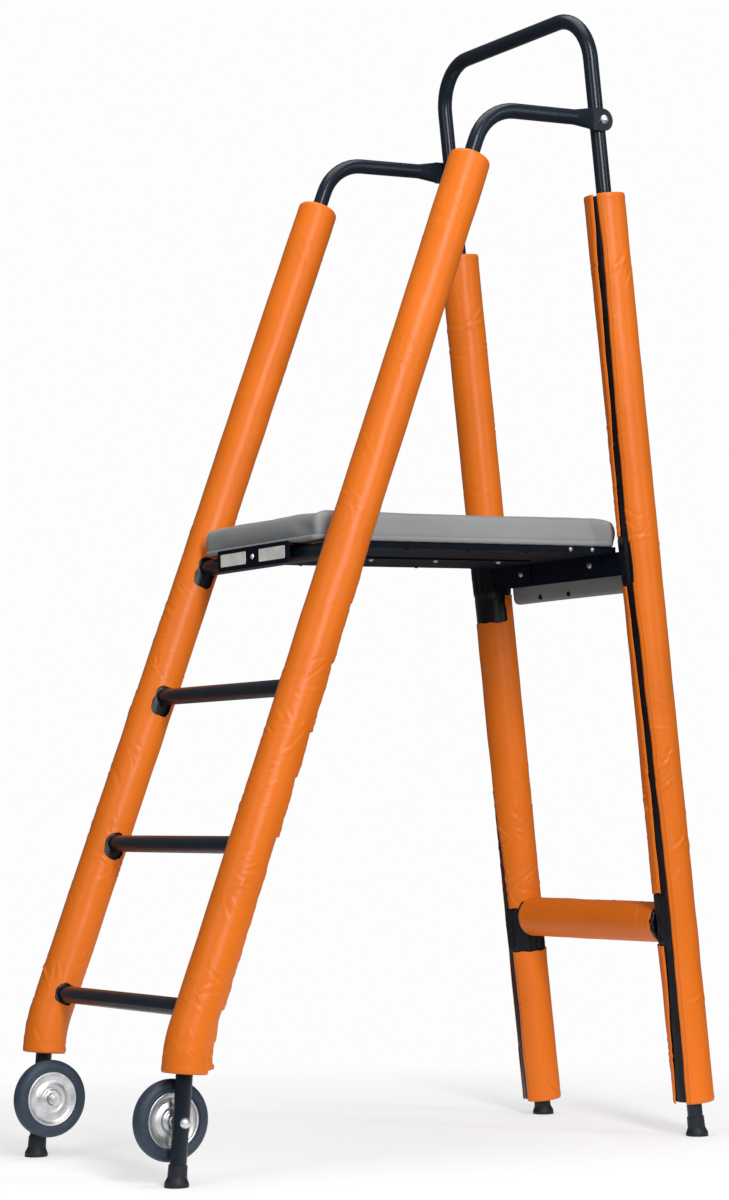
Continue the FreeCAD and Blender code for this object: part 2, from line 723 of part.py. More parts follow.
# hinge leaves fixed on the plate, with two outer knuckles each
barrel_r = d.barrel_od / 2
pin_r = d.pin_od / 2
knuckle = d.leaf_width / 4
leaf_back = plate_front
leaf_front = plate_front - d.leaf_thick
leaf_bolts = []
for index, (side_name, side) in enumerate(SIDES.items()):
    centre = d.leaf_centre * side
    left = centre - d.leaf_width / 2
    right = centre + d.leaf_width / 2
    web = box(f"leaf_web_{side_name}", (left, right), (leaf_front, leaf_back),
              (d.plate_low + 5, d.pin_rise - barrel_r - 1))
    pieces = [web]
    for end, (start, stop) in (("a", (left, left + knuckle)), ("b", (right - knuckle, right))):
        pieces.append(box(f"leaf_ear_{end}_{side_name}", (start, stop), (leaf_front, leaf_back),
                          (d.pin_rise - barrel_r - 2, d.pin_rise)))
        pieces.append(rod(f"leaf_barrel_{end}_{side_name}", barrel_r, start, stop, pin_front, d.pin_rise))
    blank = fuse(f"leaf_blank_{side_name}", pieces)
    bore = rod(f"leaf_bore_{side_name}", pin_r, left - 1, right + 1, pin_front, d.pin_rise)
    leaf = cut(f"leaf_cut_{side_name}", blank, [bore, plate_holes[index]])
    finish(rear(leaf), f"hinge_leaf_{side_name}")
    pin = rod(f"hinge_pin_rod_{side_name}", pin_r, left - 2, right + 2, pin_front, d.pin_rise)
    finish(rear(group(f"hinge_pin_group_{side_name}", [pin])), f"hinge_pin_{side_name}")
    bolt = domed_bolt(f"leaf_bolt_{side_name}", size(6.5), size(4), size(3), size(12))
    leaf_bolts.append(place(bolt, centre, leaf_front, leaf_bolt_rise, AXIS_X, 90))
finish(rear(group("leaf_bolt_pair", leaf_bolts)), "plate_bolts")

# padded bumper behind the plate: a board wrapped in padding, on two brackets
bumper_back = d.bumper_front + d.bumper_thick
low_round = 14
side_wall = d.bumper_half
corners = [(-side_wall, d.bumper_high), (-side_wall, d.bumper_low + low_round),
           (-(side_wall - low_round), d.bumper_low), (side_wall - low_round, d.bumper_low),
           (side_wall, d.bumper_low + low_round), (side_wall, d.bumper_high)]
bumper = padded("bumper_body", "XZ_Plane", corners, -bumper_back, -d.bumper_front,
                {1: low_round, 3: low_round})
bumper_board = box("bumper_board_box", (-(side_wall - 20), side_wall - 20),
                   (d.bumper_front + 4, d.bumper_front + 12), (d.bumper_low + 18, d.bumper_high - 4))
finish(rear(cut("bumper_cut", bumper, [bumper_board])), "bumper_pad")
finish(rear(group("bumper_board_group", [bumper_board])), "bumper_board")
brackets = []
for side_name, side in SIDES.items():
    middle = size(150 * side)
    arm = box(f"bracket_arm_{side_name}", (middle - 15, middle + 15), (plate_back, d.bumper_front),
              (1018, 1021))
    foot_plate = box(f"bracket_foot_{side_name}", (middle - 15, middle + 15),
                     (plate_back, plate_back + 3), (1000, 1021))
    back_plate = box(f"bracket_back_{side_name}", (middle - 15, middle + 15),
                     (d.bumper_front - 3, d.bumper_front), (1000, 1021))
    brackets.append(fuse(f"bracket_{side_name}", [arm, foot_plate, back_plate]))
finish(rear(group("bracket_pair", brackets)), "bumper_brackets")


# --------------------------------------------------------------------------- platform
deck_low = -d.deck_depth / 2
deck_high = d.deck_depth / 2
wall = d.sheet_thick
hook_back = size(-550)
pan_box = box("pan_box", (-d.deck_half, d.deck_half), (-d.deck_front, -d.deck_rear),
              (deck_low, deck_high))
pan_room = box("pan_room", (-(d.deck_half - wall), d.deck_half - wall),
               (-(d.deck_front - wall), -(d.deck_rear + wall)), (deck_low + wall, deck_high + 1))
hook_room = box("hook_room", (-(d.hook_half + 1), d.hook_half + 1), (-(d.deck_front + 1), hook_back),
                (deck_high - d.hook_sheet, deck_high + 1))
strap_bolt_y = [size(-396 + 137 * step) for step in range(3)]
screw_y = [size(-560 + 125 * step) for step in range(5)]
side_bolt_y = [size(-49), size(-97)]

strap_holes = [post(f"strap_hole_{i}", 4, -14, 1, 0, y) for i, y in enumerate(strap_bolt_y)]
screw_holes = []
for i, y in enumerate(screw_y):
    for side_name, side in SIDES.items():
        screw_holes.append(post(f"screw_hole_{side_name}_{i}", 2, -12, 0, size(172 * side), y))
side_holes = [rod(f"side_hole_{i}", 3, -200, 200, y, 0) for i, y in enumerate(side_bolt_y)]
arm_slots = []
for side_name, side in SIDES.items():
    centre = d.leaf_centre * side
    arm_slots.append(box(f"arm_slot_{side_name}", (centre - knuckle, centre + knuckle),
                         (-(d.deck_rear + wall + 1), -(d.deck_rear - 1)),
                         (deck_low + wall, deck_low + wall + d.leaf_thick + 0.5)))
pan_tools = [pan_room, hook_room] + arm_slots + strap_holes + screw_holes + side_holes
ears = []
for side_name, side in SIDES.items():
    near, far = sorted(((d.deck_half - wall) * side, d.deck_half * side), key=lambda edge: edge.value)
    ears.append(box(f"pan_ear_{side_name}", (near, far), (-(d.deck_rear + 1), d.deck_ear),
                    (deck_low, deck_high)))
pan = fuse("pan_eared", [cut("pan_cut", pan_box, pan_tools)] + ears)
finish(deck(pan), "deck_pan")

strap = box("strap_box", (-16, 16), (-560, -60), (deck_low - 3, deck_low))
finish(deck(cut("strap_cut", strap, strap_holes)), "deck_strap")
strap_bolts = []
for i, y in enumerate(strap_bolt_y):
    bolt = domed_bolt(f"strap_bolt_{i}", size(5.5), size(4), size(4), size(9))
    strap_bolts.append(place(bolt, 0, y, deck_low - 3, AXIS_X, 180))
finish(deck(group("strap_bolt_row", strap_bolts)), "strap_bolts")
screws = []
for i, y in enumerate(screw_y):
    for side_name, side in SIDES.items():
        screw = domed_bolt(f"deck_screw_{side_name}_{i}", size(4), size(2.5), size(2), size(5))
        screws.append(place(screw, size(172 * side), y, deck_low, AXIS_X, 180))
finish(deck(group("deck_screw_rows", screws)), "deck_screws")
side_bolts = []
for i, y in enumerate(side_bolt_y):
    for side_name, side in SIDES.items():
        bolt = domed_bolt(f"side_bolt_{side_name}_{i}", size(4.4), size(2.5), size(3), size(8))
        side_bolts.append(on_x(bolt, side, d.deck_half * side, y, 0))
finish(deck(group("side_bolt_rows", side_bolts)), "deck_side_bolts")

# the front hook hangs over the fourth rung: a bent sheet and a face plate bolted on it
hook_out = d.hook_front
hook_in = hook_out - d.hook_sheet
hook_low = size(-23)
shelf = box("hook_shelf", (-d.hook_half, d.hook_half), (-hook_out, hook_back - 1),
            (deck_high - d.hook_sheet, deck_high))
web = box("hook_web", (-d.hook_half, d.hook_half), (-hook_out, -hook_in), (hook_low, deck_high))
lip = box("hook_lip", (-d.hook_half, d.hook_half), (-hook_out, -(hook_out - 11)),
          (hook_low, hook_low + d.hook_sheet))
hook_blank = fuse("hook_blank", [shelf, web, lip])
face_bolt_z = size(-8)
face_hole = doc.addObject("Part::Cylinder", "face_hole")
bind(face_hole, Radius=3, Height=16)
place(face_hole, 0, -(hook_out - 8), face_bolt_z, AXIS_X, 90)
finish(deck(cut("hook_cut", hook_blank, [face_hole])), "front_hook")
face_front = hook_out + d.hook_sheet
face_mid = (d.face_high - d.face_low) / 2
corners, arcs = rounded_rectangle(d.face_half, -d.face_low, d.face_high, size(4))
face = padded("face_body", "XZ_Plane", corners, hook_out, face_front, arcs)
finish(deck(cut("face_cut", face, [face_hole])), "face_plate")
face_bolt = place(domed_bolt("face_bolt_body", size(5), size(3.5), size(3), size(8)),
                  0, -face_front, face_mid, AXIS_X, 90)
finish(deck(group("face_bolt_group", [face_bolt])), "face_bolt")
labels = []
for side_name, side in SIDES.items():
    label_low = face_mid - d.label_height / 2
    corners, arcs = rounded_rectangle(d.label_width / 2, label_low, label_low + d.label_height, size(2))
    label = padded(f"label_body_{side_name}", "XZ_Plane", corners, face_front, face_front + 0.8, arcs)
    labels.append(place(label, d.label_centre * side))
finish(deck(group("label_pair", labels)), "blank_plates")

# cushion on its board
cushion_low = deck_high
cushion_high = deck_high + d.cushion_thick
corners, arcs = rounded_rectangle(d.cushion_half, -d.cushion_front, -d.cushion_rear, d.cushion_corner)
cushion = padded("cushion_body", "XY_Plane", corners, cushion_low, cushion_high, arcs)
soften(cushion, cushion_high, d.cushion_edge)
board = box("cushion_board_box", (-(d.cushion_half - 8), d.cushion_half - 8),
            (-(d.cushion_front - 8), -(d.cushion_rear + 8)), (cushion_low, cushion_low + 9))
finish(deck(cut("cushion_cut", cushion, [board])), "platform_cushion")
finish(deck(group("cushion_board_group", [board])), "cushion_board")

# hinge leaves of the platform: an arm inside the pan and one knuckle around each pin
for side_name, side in SIDES.items():
    centre = d.leaf_centre * side
    reach = knuckle - d.gap
    arm = box(f"arm_box_{side_name}", (centre - reach, centre + reach), (-70, 0),
              (deck_low + wall, deck_low + wall + d.leaf_thick))
    barrel = rod(f"arm_barrel_{side_name}", barrel_r, centre - reach, centre + reach)
    bore = rod(f"arm_bore_{side_name}", pin_r + d.bore_gap, centre - knuckle, centre + knuckle)
    arm_blank = fuse(f"arm_blank_{side_name}", [arm, barrel])
    finish(deck(cut(f"arm_cut_{side_name}", arm_blank, [bore])), f"deck_arm_{side_name}")

# --------------------------------------------------------------------------- check and write
doc.recompute()
faults = []
for obj in doc.Objects:
    if "Invalid" in obj.State or "Error" in obj.State:
        faults.append(f"{obj.Name}: {obj.getStatusString()}")
for label, obj in subparts.items():
    shape = obj.Shape
    if shape.isNull() or not shape.isValid() or not shape.Solids:
        faults.append(f"{label}: no valid solid")
if faults:
    raise RuntimeError("; ".join(faults))

os.makedirs("parts", exist_ok=True)
for label, obj in subparts.items():
    obj.Shape.exportStep(f"parts/{label}.step")
whole = Part.makeCompound([obj.Shape for obj in subparts.values()]).BoundBox
print(f"{len(subparts)} sub-parts")
print(f"box x {whole.XMin:.2f} {whole.XMax:.2f} y {whole.YMin:.2f} {whole.YMax:.2f} "
      f"z {whole.ZMin:.2f} {whole.ZMax:.2f}")
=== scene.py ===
"""Looks for the padded folding step ladder: pads, cushion, tyres, hubs and materials."""

import math

import bmesh
import bpy
import numpy as np
from mathutils import Matrix, Vector


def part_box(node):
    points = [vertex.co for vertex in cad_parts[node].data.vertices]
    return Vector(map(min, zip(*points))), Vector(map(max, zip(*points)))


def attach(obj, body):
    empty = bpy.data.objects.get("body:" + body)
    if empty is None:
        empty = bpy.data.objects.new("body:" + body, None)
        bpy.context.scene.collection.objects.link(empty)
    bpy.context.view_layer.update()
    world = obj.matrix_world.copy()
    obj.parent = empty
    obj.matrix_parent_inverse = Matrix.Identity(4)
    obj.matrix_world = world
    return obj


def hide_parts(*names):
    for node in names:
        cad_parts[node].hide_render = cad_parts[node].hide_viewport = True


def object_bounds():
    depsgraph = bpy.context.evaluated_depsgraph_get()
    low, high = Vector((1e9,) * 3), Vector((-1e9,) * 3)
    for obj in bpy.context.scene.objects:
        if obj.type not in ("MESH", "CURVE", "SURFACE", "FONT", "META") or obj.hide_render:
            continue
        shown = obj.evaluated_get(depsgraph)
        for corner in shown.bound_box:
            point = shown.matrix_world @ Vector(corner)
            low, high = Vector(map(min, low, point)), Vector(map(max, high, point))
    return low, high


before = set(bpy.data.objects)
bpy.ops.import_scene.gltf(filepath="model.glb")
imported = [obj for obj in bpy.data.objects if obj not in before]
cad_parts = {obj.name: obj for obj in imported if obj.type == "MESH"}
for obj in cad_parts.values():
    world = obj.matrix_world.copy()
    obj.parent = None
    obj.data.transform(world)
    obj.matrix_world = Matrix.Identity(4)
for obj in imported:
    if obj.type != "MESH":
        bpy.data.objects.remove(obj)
cad_low, cad_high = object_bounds()

MM = 0.001
PAD_R = 0.0360  # outer radius of a vinyl sleeve
FOAM_R = 0.0332
TUBE_R = 0.0135
COLUMNS = 112  # cells round a sleeve
ROW_STEP = 0.003  # length of a sleeve's cells
SHEET = 0.0010  # thickness of the vinyl
CLEARANCE = 0.0002  # between a foam tube and the steel in it
SIDES = (("left", -1), ("right", 1))


def centre(node):
    low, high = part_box(node)
    return (low + high) / 2


# ------------------------------------------------------------------ materials
def material(name, color, roughness, metallic=0.0, **sockets):
    """A Principled material; constants sit on the shader's own sockets."""
    mat = bpy.data.materials.new(name)
    mat.use_nodes = True
    shader = mat.node_tree.nodes["Principled BSDF"]
    shader.inputs["Base Color"].default_value = (*color, 1.0)
    shader.inputs["Roughness"].default_value = roughness
    shader.inputs["Metallic"].default_value = metallic
    for key, value in sockets.items():
        shader.inputs[key.replace("_", " ")].default_value = value
    return mat


class Nodes:
    """Small helpers for wiring one material."""

    def __init__(self, mat):
        self.tree = mat.node_tree
        self.shader = self.tree.nodes["Principled BSDF"]
        self.coords = self.tree.nodes.new("ShaderNodeTexCoord")

    def link(self, source, target):
        self.tree.links.new(source, target)

    def at(self, scale=(1, 1, 1), offset=(0, 0, 0)):
        mapping = self.tree.nodes.new("ShaderNodeMapping")
        mapping.inputs["Location"].default_value = offset
        mapping.inputs["Scale"].default_value = scale
        self.link(self.coords.outputs["Object"], mapping.inputs["Vector"])
        return mapping.outputs["Vector"]

    def noise(self, vector, scale, detail=3.0, rough=0.5):
        node = self.tree.nodes.new("ShaderNodeTexNoise")
        node.inputs["Scale"].default_value = scale
        node.inputs["Detail"].default_value = detail
        node.inputs["Roughness"].default_value = rough
        self.link(vector, node.inputs["Vector"])
        return node.outputs["Fac"]

    def cells(self, vector, scale):
        node = self.tree.nodes.new("ShaderNodeTexVoronoi")
        node.feature = "F1"
        node.inputs["Scale"].default_value = scale
        self.link(vector, node.inputs["Vector"])
        return node.outputs["Distance"]

    def math(self, operation, first, second=0.5):
        node = self.tree.nodes.new("ShaderNodeMath")
        node.operation = operation
        for socket, value in zip(node.inputs, (first, second)):
            if isinstance(value, (int, float)):
                socket.default_value = value
            else:
                self.link(value, socket)
        return node.outputs[0]

    def spread(self, value, low, high, to_low, to_high):
        node = self.tree.nodes.new("ShaderNodeMapRange")
        limits = {"From Min": low, "From Max": high, "To Min": to_low, "To Max": to_high}
        for key, number in limits.items():
            node.inputs[key].default_value = number
        self.link(value, node.inputs["Value"])
        return node.outputs["Result"]

    def colors(self, value, stops):
        node = self.tree.nodes.new("ShaderNodeValToRGB")
        ramp = node.color_ramp
        for element, (position, color) in zip(ramp.elements, (stops[0], stops[-1])):
            element.position = position
            element.color = (*color, 1)
        for position, color in stops[1:-1]:
            ramp.elements.new(position).color = (*color, 1)
        self.link(value, node.inputs["Fac"])
        return node.outputs["Color"]

    def mix(self, factor, first, second):
        node = self.tree.nodes.new("ShaderNodeMix")
        node.data_type = "RGBA"
        self.link(factor, node.inputs["Factor"])
        for socket, value in zip((node.inputs[6], node.inputs[7]), (first, second)):
            if isinstance(value, tuple):
                socket.default_value = (*value, 1)
            else:
                self.link(value, socket)
        return node.outputs[2]

    def bump(self, height, strength, distance, below=None):
        node = self.tree.nodes.new("ShaderNodeBump")
        node.inputs["Strength"].default_value = strength
        node.inputs["Distance"].default_value = distance
        self.link(height, node.inputs["Height"])
        if below is not None:
            self.link(below, node.inputs["Normal"])
        return node.outputs["Normal"]

    def finish(self, color=None, roughness=None, normal=None):
        for key, value in (("Base Color", color), ("Roughness", roughness), ("Normal", normal)):
            if value is not None:
                self.link(value, self.shader.inputs[key])


def scaled(color, factor):
    return tuple(min(1.0, c * factor) for c in color)


def painted(name, color, roughness, coat, specular=0.26):
    """Powder coat: faint orange peel, slow colour drift and rubbed patches."""
    mat = material(name, color, roughness, Coat_Weight=coat, Coat_Roughness=0.15,
                   Specular_IOR_Level=specular)
    n = Nodes(mat)
    drift = n.noise(n.at(), 9, 4)
    rubbed = n.noise(n.at((1, 1, 0.35)), 38, 6, 0.62)
    tone = n.colors(drift, [(0.25, scaled(color, 0.8)), (0.75, scaled(color, 1.25))])
    scuff = n.colors(rubbed, [(0.66, (0, 0, 0)), (0.80, (1, 1, 1))])
    worn = n.mix(scuff, tone, scaled(color, 2.2))
    rough = n.spread(rubbed, 0.3, 0.8, roughness * 0.8, roughness * 1.5)
    peel = n.bump(n.noise(n.at(), 420, 2), 0.10, 0.0004)
    n.finish(worn, rough, peel)
    return mat


def vinyl(name, color, roughness, stitches):
    """Coated fabric: embossed grain, soft handling marks and, on the pads, a stitched hem."""
    mat = material(name, color, roughness, Specular_IOR_Level=0.28, Coat_Weight=0.03,
                   Coat_Roughness=0.30)
    n = Nodes(mat)
    drift = n.noise(n.at(), 7, 3)
    handled = n.noise(n.at((1, 1, 0.4)), 26, 5, 0.6)
    tone = n.colors(drift, [(0.2, scaled(color, 0.90)), (0.55, color),
                            (0.9, scaled(color, 1.07))])
    dusty = n.colors(handled, [(0.60, (0, 0, 0)), (0.86, (0.35, 0.35, 0.35))])
    grey = sum(color) / 3
    shade = n.mix(dusty, tone, tuple(c * 0.72 + grey * 0.20 for c in color))
    rough = n.spread(handled, 0.25, 0.8, roughness * 0.88, roughness * 1.22)
    grain = n.bump(n.cells(n.at(), 1150), 0.16, 0.0002)
    puckered = n.bump(n.noise(n.at((1, 1, 0.6)), 62, 4, 0.55), 0.20, 0.0018, grain)
    sharp = n.math("ABSOLUTE", n.math("SUBTRACT", n.noise(n.at((1, 1, 0.8)), 34, 2, 0.4), 0.5))
    line = n.spread(sharp, 0.0, 0.045, 1.0, 0.0)
    patch = n.spread(n.noise(n.at(offset=(3, 1, 2)), 5.5, 2), 0.50, 0.66, 0.0, 1.0)
    normal = n.bump(n.math("MULTIPLY", line, patch), 0.42, 0.0009, puckered)
    if stitches:
        split = n.tree.nodes.new("ShaderNodeSeparateXYZ")
        n.link(n.coords.outputs["UV"], split.inputs[0])
        across, along = split.outputs[0], split.outputs[1]
        off_seam = n.math("ABSOLUTE", n.math("SUBTRACT", across, 0.0075))
        beside = n.math("LESS_THAN", off_seam, 0.0008)
        dash = n.math("LESS_THAN", n.math("FRACT", n.math("MULTIPLY", along, 210)), 0.66)
        stitch = n.math("MULTIPLY", beside, dash)
        shade = n.mix(stitch, shade, scaled(color, 0.62))
        normal = n.bump(stitch, 0.5, 0.0006, normal)
    n.finish(shade, rough, normal)
    return mat


def zinc(name, color, low_rough, high_rough, axis_point=None):
    """Zinc-plated steel, spun in rings about an axis along X where one is given."""
    mat = material(name, color, low_rough, 1.0)
    n = Nodes(mat)
    cloud = n.noise(n.at(), 55, 5, 0.6)
    tone = n.colors(cloud, [(0.3, scaled(color, 0.78)), (0.7, scaled(color, 1.08))])
    if axis_point is None:
        fine = n.noise(n.at(), 520, 3)
    else:
        split = n.tree.nodes.new("ShaderNodeSeparateXYZ")
        n.link(n.at(offset=(0, -axis_point.y, -axis_point.z)), split.inputs[0])
        squares = [n.math("MULTIPLY", split.outputs[i], split.outputs[i]) for i in (1, 2)]
        radius = n.math("SQRT", n.math("ADD", *squares), 0)
        join = n.tree.nodes.new("ShaderNodeCombineXYZ")
        n.link(radius, join.inputs[0])
        fine = n.noise(join.outputs[0], 900, 4, 0.7)
    rough = n.spread(cloud, 0.3, 0.7, low_rough, high_rough)
    n.finish(tone, rough, n.bump(fine, 0.22, 0.0002))
    return mat


def moulded(name, color, roughness, scale, strength, distance, spec=0.4):
    """Rubber, foam or plastic with a pored or grained skin."""
    mat = material(name, color, roughness, Specular_IOR_Level=spec)
    n = Nodes(mat)
    mottle = n.noise(n.at(), 30, 5, 0.6)
    tone = n.colors(mottle, [(0.25, scaled(color, 0.75)), (0.75, scaled(color, 1.3))])
    rough = n.spread(mottle, 0.3, 0.7, roughness * 0.85, min(1.0, roughness * 1.15))
    n.finish(tone, rough, n.bump(n.cells(n.at(), scale), strength, distance))
    return mat


def plywood(name, color):
    mat = material(name, color, 0.6)
    n = Nodes(mat)
    grain = n.noise(n.at((9, 0.6, 60)), 12, 5, 0.6)
    tone = n.colors(grain, [(0.3, scaled(color, 0.6)), (0.7, scaled(color, 1.15))])
    n.finish(tone, None, n.bump(grain, 0.3, 0.0004))
    return mat


ORANGE = (0.745, 0.160, 0.006)
PAINT = (0.0085, 0.0135, 0.0225)
mats = {
    "paint": painted("tube_powder_coat", PAINT, 0.24, 0.08),
    "pan": painted("sheet_powder_coat", (0.0022, 0.0046, 0.0120), 0.55, 0.0, 0.10),
    "orange": vinyl("orange_vinyl", ORANGE, 0.40, True),
    "grey": vinyl("grey_vinyl", (0.262, 0.270, 0.274), 0.46, False),
    # the sleeves' brown backing, made darker than the cloth itself as painted shade under the
    # standing-off flaps and inside the openings
    "backing_and_shade": moulded("vinyl_backing_painted_shade", (0.060, 0.022, 0.007), 0.85, 900, 0.5, 0.0005, 0.2),
    "foam": moulded("black_foam", (0.0014, 0.0020, 0.0044), 0.34, 700, 0.4, 0.0005, 0.30),
    "tyre": moulded("tyre_rubber", (0.027, 0.042, 0.064), 0.47, 620, 0.16, 0.0003, 0.34),
    "rubber": moulded("foot_rubber", (0.0100, 0.0135, 0.0175), 0.50, 500, 0.30, 0.0005, 0.30),
    "zinc": zinc("zinc_plate", (0.82, 0.83, 0.84), 0.34, 0.48),
    "dull_zinc": zinc("dull_zinc", (0.42, 0.44, 0.48), 0.42, 0.56),
    "nylon": moulded("nylon", (0.45, 0.44, 0.40), 0.5, 300, 0.1, 0.0003),
    "label": moulded("blank_label", (0.86, 0.80, 0.74), 0.5, 260, 0.12, 0.0003),
    "wood": plywood("plywood", (0.45, 0.30, 0.16)),
}
axle = centre("axle_bolt_right")
mats["hub"] = zinc("spun_zinc", (0.74, 0.745, 0.76), 0.36, 0.50, axle)

FINISHES = {
    "paint": ["rail_left", "rail_right", "rung_1", "rung_2", "rung_3", "platform_rung", "rear_tube",
              "lower_crossbar", "pivot_washers"],
    "pan": ["deck_pan", "deck_strap", "front_hook", "face_plate", "deck_arm_left", "deck_arm_right",
            "hinge_leaf_left", "hinge_leaf_right", "bumper_brackets", "cross_plate", "deck_screws"],
    "zinc": ["axle_bolt_left", "axle_bolt_right", "axle_nuts", "axle_spacer_left",
             "axle_spacer_right", "pivot_bolt_left", "pivot_bolt_right", "pivot_nuts", "face_bolt"],
    "dull_zinc": ["plate_bolts", "hinge_pin_left", "hinge_pin_right", "strap_bolts",
                  "deck_side_bolts"],
    "rubber": ["foot_front_left", "foot_front_right", "foot_rear_left", "foot_rear_right"],
    "nylon": ["wheel_bush_left", "wheel_bush_right"],
    "label": ["blank_plates"],
    "wood": ["cushion_board", "bumper_board"],
}
for key, names in FINISHES.items():
    for name in names:
        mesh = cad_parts[name].data
        mesh.materials.clear()
        mesh.materials.append(mats[key])


# ------------------------------------------------------------------ mesh helpers
def new_object(name, verts, faces, material_list, uvs=None, smooth=True):
    mesh = bpy.data.meshes.new(name)
    mesh.from_pydata([tuple(v) for v in verts], [], [tuple(f) for f in faces])
    if uvs is not None:
        layer = mesh.uv_layers.new(name="seam")
        loops = np.zeros(len(mesh.loops), np.int32)
        mesh.loops.foreach_get("vertex_index", loops)
        layer.data.foreach_set("uv", np.asarray(uvs, np.float32)[loops].ravel())
    mesh.update()
    mesh.polygons.foreach_set("use_smooth", [smooth] * len(mesh.polygons))
    for mat in material_list:
        mesh.materials.append(mat)
    obj = bpy.data.objects.new(name, mesh)
    bpy.context.scene.collection.objects.link(obj)
    return obj


def clean(obj, merge=None):
    """Turns all faces outwards, after joining vertices closer than merge where it is given."""
    bm = bmesh.new()
    bm.from_mesh(obj.data)
    if merge is not None:
        bmesh.ops.remove_doubles(bm, verts=bm.verts, dist=merge)
    bmesh.ops.recalc_face_normals(bm, faces=bm.faces)
    bm.to_mesh(obj.data)
    bm.free()


def ring_faces(rows, columns, closed):
    """Quads between rings of vertices; closed joins the last ring to the first."""
    faces = []
    for i in range(rows if closed else rows - 1):
        n = (i + 1) % rows
        for k in range(columns):
            m = (k + 1) % columns
            faces.append((i * columns + k, i * columns + m, n * columns + m, n * columns + k))
    return faces


def apply_modifiers(obj):
    """Bakes the modifiers into the mesh."""
    depsgraph = bpy.context.evaluated_depsgraph_get()
    mesh = bpy.data.meshes.new_from_object(obj.evaluated_get(depsgraph))
    obj.modifiers.clear()
    obj.data = mesh


def ease(x, low, high):
    """Smooth step from 0 at low to 1 at high."""
    x = np.clip((x - low) / (high - low), 0, 1)
    return x * x * (3 - 2 * x)


def ripple(seed, s, phi, lengths, turns, count):
    """Smooth pseudo-random field over a tube, about -1 to 1: s along it, phi round it."""
    rng = np.random.default_rng(seed)
    total = np.zeros_like(s)
    for _ in range(count):
        wave = rng.uniform(*lengths)
        turn = int(rng.integers(turns[0], turns[1] + 1))
        total += np.sin(2 * math.pi * s / wave + turn * phi + rng.uniform(0, 6.28))
    return total / math.sqrt(count) / 1.4


def creases(seed, s, arc, spans, round_arc):
    """Short sharp folds in loose groups. Each span is (from, to, groups, height in mm)."""
    rng = np.random.default_rng(seed)
    total = np.zeros_like(s)
    for low, high, groups, height in spans:
        for _ in range(groups):
            s_mid, a_mid = rng.uniform(low, high), rng.uniform(0, round_arc)
            lean = rng.choice((-1, 1)) * rng.uniform(0.2, 1.0)
            for _ in range(int(rng.integers(2, 6))):
                turn = lean + rng.normal(0.0, 0.28)
                length, width = rng.uniform(0.009, 0.026), rng.uniform(0.0016, 0.0032)
                tall = height * MM * rng.uniform(0.45, 1.1)
                ds = s - s_mid - rng.normal(0, 0.016)
                da = arc - a_mid - rng.normal(0, 0.012)
                da = (da + round_arc / 2) % round_arc - round_arc / 2
                along = da * math.cos(turn) + ds * math.sin(turn)
                across = -da * math.sin(turn) + ds * math.cos(turn)
                across = across + along * along * rng.uniform(-10, 10)
                near = (np.abs(along) < 2.6 * length) & (np.abs(across) < 0.02)
                fade = np.exp(-((along / length) ** 2))
                ridge = np.exp(-((across / width) ** 2))
                trough = np.exp(-(((across - 1.8 * width) / (1.1 * width)) ** 2))
                total += np.where(near, tall * fade * (ridge - 0.9 * trough), 0)
    return total


# ------------------------------------------------------------------ routes of the pads
ROUTE_LENGTH = 2.2  # longer than any pad's tube
ROUTE_STEP = 0.001
COARSE = 200  # steps between the points that span() looks among first
RAIL_BEND_R = 0.200


class Route:
    """Centreline of a padded tube: points and directions by distance from its start."""

    def __init__(self, start, directions, corner=0.0, radius=0.0, out=(1, 0, 0), sign=1):
        self.s = np.arange(0, ROUTE_LENGTH, ROUTE_STEP)
        first = np.array(directions[0], float)
        last = np.array(directions[-1], float)
        turn = math.acos(max(-1.0, min(1.0, float(first @ last))))
        half = radius * math.tan(turn / 2)
        blend = np.clip((self.s - corner + half) / max(2 * half, 1e-6), 0, 1)
        if turn < 1e-6:
            blend = np.zeros_like(self.s)
        tangent = first[None] * (1 - blend[:, None]) + last[None] * blend[:, None]
        self.t = tangent / np.linalg.norm(tangent, axis=1)[:, None]
        steps = np.vstack([np.zeros(3), (self.t[1:] + self.t[:-1]) / 2 * ROUTE_STEP])
        self.p = np.array(start, float) + np.cumsum(steps, axis=0)
        self.out = np.array(out, float)
        front = np.cross(self.out[None], self.t) * sign
        self.front = front / np.linalg.norm(front, axis=1)[:, None]

    def _take(self, table, s):
        return np.stack([np.interp(s, self.s, table[:, i]) for i in range(3)], -1)

    def surface(self, s, phi, radius):
        front = self._take(self.front, s)
        side = np.cos(phi)[..., None] * front + np.sin(phi)[..., None] * self.out
        return self._take(self.p, s) + side * radius[..., None]

    def span(self, node):
        """How far along the route a CAD node starts and ends."""
        co = np.array([v.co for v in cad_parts[node].data.vertices])
        low = (co - self.p[0]) @ self.t[0]
        apart = np.linalg.norm(co[:, None, :] - self.p[None, ::COARSE], axis=2)
        near = apart.argmin(axis=1) * COARSE
        along = self.s[near] + np.einsum("ij,ij->i", co - self.p[near], self.t[near])
        return float(low.min()), float(along.max())


def flat(point):
    return np.array([0.0, point.y, point.z])


def direction(low, high):
    step = flat(high) - flat(low)
    return step / np.linalg.norm(step)


rung_2, rung_4 = centre("rung_2"), centre("platform_rung")
# the lower end of a rail is a ring, square to the rail and just off the floor
rail_verts = [v.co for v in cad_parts["rail_right"].data.vertices]
rail_end = min(co.z for co in rail_verts)
end_ring = [co for co in rail_verts if co.z < rail_end + 0.004]
low_dir = direction(sum(end_ring, Vector()) / len(end_ring), axle)
high_dir = direction(rung_2, rung_4)
# the two straight runs of the front rail meet at the bend
gap = flat(rung_2) - flat(axle)
bend_at = float(np.cross(gap[1:], high_dir[1:]) / np.cross(low_dir[1:], high_dir[1:]))
bar, pivot = centre("lower_crossbar"), centre("pivot_bolt_right")
rear_dir = direction(bar, pivot)

